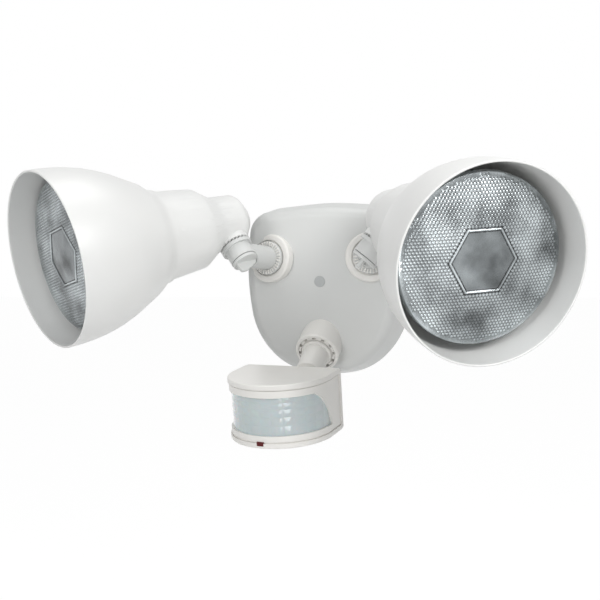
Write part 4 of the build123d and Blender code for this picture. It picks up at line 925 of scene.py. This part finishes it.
class AddStage(bpy.types.Operator):
    """Adds the camera, the floor, the soft lights and the white surroundings"""
    bl_idname = "security_light.add_stage"
    bl_label = "Add Stage"

    CAMERA_AT = (243.3, -799.3, 25.7)
    CAMERA_RIGHT = (0.9457, 0.3247, -0.0159)
    CAMERA_UP = (-0.0019, 0.0547, 0.9985)
    LIGHTS = (("key", (680, -580, 420), (0, -60, 0), 380, 4.2),
              ("fill", (-260, -900, 300), (0, -60, 0), 460, 2.4),
              ("top", (0, -60, 760), (0, -90, 0), 420, 1.5),
              ("low", (340, -760, -240), (0, -60, -70), 260, 0.6))     # name, place, aim, width, watts
    CAMERA_SENSOR = 36.0
    CAMERA_CLIP = 10.0
    DAYLIGHT, BACKDROP = 0.3, 1.0  # the surroundings' strength as a light and as they are seen
    FLOOR_REACH, FLOOR_POINTS = 6000.0, 5
    FLOOR_WHITE, FLOOR_SHARE = 1.06, 0.9           # glow, and how much of it covers the lit floor

    def camera(self, context):
        """Camera at the photograph's viewing angle: Z backwards is right cross up."""
        right = np.array(self.CAMERA_RIGHT)
        right /= np.linalg.norm(right)
        back = np.cross(right, np.array(self.CAMERA_UP))
        back /= np.linalg.norm(back)
        place = placed(right, np.cross(back, right), back, np.array(self.CAMERA_AT) * MM)
        lens = bpy.data.cameras.new("camera")
        lens.sensor_width = self.CAMERA_SENSOR
        lens.lens = context.scene.stage_settings.focal_length
        lens.clip_start = self.CAMERA_CLIP * MM
        camera = bpy.data.objects.new("camera", lens)
        camera.matrix_world = Matrix(place.tolist())
        context.scene.collection.objects.link(camera)
        context.scene.camera = camera

    def light(self, context, name, at, aim, width, power):
        """A square soft light that faces a point."""
        lamp = bpy.data.lights.new(name, "AREA")
        lamp.shape = "SQUARE"
        lamp.size = width * MM
        lamp.energy = power
        made = bpy.data.objects.new(name, lamp)
        turn = (Vector(aim) - Vector(at)).to_track_quat("-Z", "Y")
        made.matrix_world = Matrix.Translation(Vector(at) * MM) @ turn.to_matrix().to_4x4()
        context.scene.collection.objects.link(made)

    def execute(self, context):
        scene = context.scene
        scene.view_settings.view_transform = "Standard"
        self.camera(context)
        for lamp in self.LIGHTS:
            self.light(context, *lamp)
        world = bpy.data.worlds.new("surroundings")
        scene.world = world
        world.use_nodes = True
        tree = world.node_tree
        tree.nodes.clear()
        strength = graded(tree, seen_directly(tree), self.DAYLIGHT, self.BACKDROP)
        glow = add(tree, "ShaderNodeBackground", {"Color": (1, 1, 1, 1), "Strength": strength})
        add(tree, "ShaderNodeOutputWorld", {"Surface": glow.outputs[0]})
        self.ground(context)
        return {"FINISHED"}

    def ground(self, context):
        """Pale floor under the light: white to the camera, apart from a trace of the shadow."""
        material, tree, shader = new_material("floor_white")
        shader.inputs["Base Color"].default_value = linear("#f4f4f4")
        shader.inputs["Roughness"].default_value = 0.9
        white = add(tree, "ShaderNodeEmission", {"Color": (1, 1, 1, 1), "Strength": self.FLOOR_WHITE})
        share = computed(tree, "MULTIPLY", seen_directly(tree), self.FLOOR_SHARE)
        both = add(tree, "ShaderNodeMixShader", {0: share, 1: shader.outputs[0], 2: white.outputs[0]})
        tree.links.new(both.outputs[0], tree.nodes["Material Output"].inputs["Surface"])
        reach = np.linspace(-self.FLOOR_REACH, self.FLOOR_REACH, self.FLOOR_POINTS) * MM
        x, y = np.meshgrid(reach, reach, indexing="ij")
        level = -context.scene.stage_settings.floor_drop
        points = np.stack([x, y, np.full_like(x, level)], -1)
        mesh = bpy.data.meshes.new("floor")
        faces = grid_faces(self.FLOOR_POINTS, self.FLOOR_POINTS, False, False)
        mesh.from_pydata(points.reshape(-1, 3), [], faces)
        mesh.materials.append(material)
        floor = bpy.data.objects.new("floor", mesh)
        context.scene.collection.objects.link(floor)


# ---- panel and registration ------------------------------------------------------------

PIECES = (AddHoods, AddBulbs, AddSockets, AddGripRings, AddCanopy, AddSlottedRing, AddSensor,
          AddSensorLens, AddStage)


class SecurityLightPanel(bpy.types.Panel):
    """Lists the pieces of the light and their settings"""
    bl_idname = "VIEW3D_PT_security_light"
    bl_label = "Security Light"
    bl_space_type = "VIEW_3D"
    bl_region_type = "UI"
    bl_category = "Security Light"

    def draw(self, context):
        scene = context.scene
        for group in (scene.lamp_settings, scene.sensor_settings, scene.stage_settings):
            for key in group.bl_rna.properties.keys():
                if key not in ("rna_type", "name"):
                    self.layout.prop(group, key)
        for piece in PIECES:
            self.layout.operator(piece.bl_idname)


CLASSES = (LampSettings, SensorSettings, StageSettings, *PIECES, SecurityLightPanel)


def register():
    for made in CLASSES:
        bpy.utils.register_class(made)
    bpy.types.Scene.lamp_settings = bpy.props.PointerProperty(type=LampSettings)
    bpy.types.Scene.sensor_settings = bpy.props.PointerProperty(type=SensorSettings)
    bpy.types.Scene.stage_settings = bpy.props.PointerProperty(type=StageSettings)


def unregister():
    del bpy.types.Scene.stage_settings
    del bpy.types.Scene.sensor_settings
    del bpy.types.Scene.lamp_settings
    for made in reversed(CLASSES):
        bpy.utils.unregister_class(made)


def main():
    register()
    bpy.ops.security_light.add_hoods()
    bpy.ops.security_light.add_bulbs()
    bpy.ops.security_light.add_sockets()
    bpy.ops.security_light.add_grip_rings()
    bpy.ops.security_light.add_canopy()
    bpy.ops.security_light.add_slotted_ring()
    bpy.ops.security_light.add_sensor()
    bpy.ops.security_light.add_sensor_lens()
    bpy.ops.security_light.add_stage()


if __name__ == "__main__":
    main()
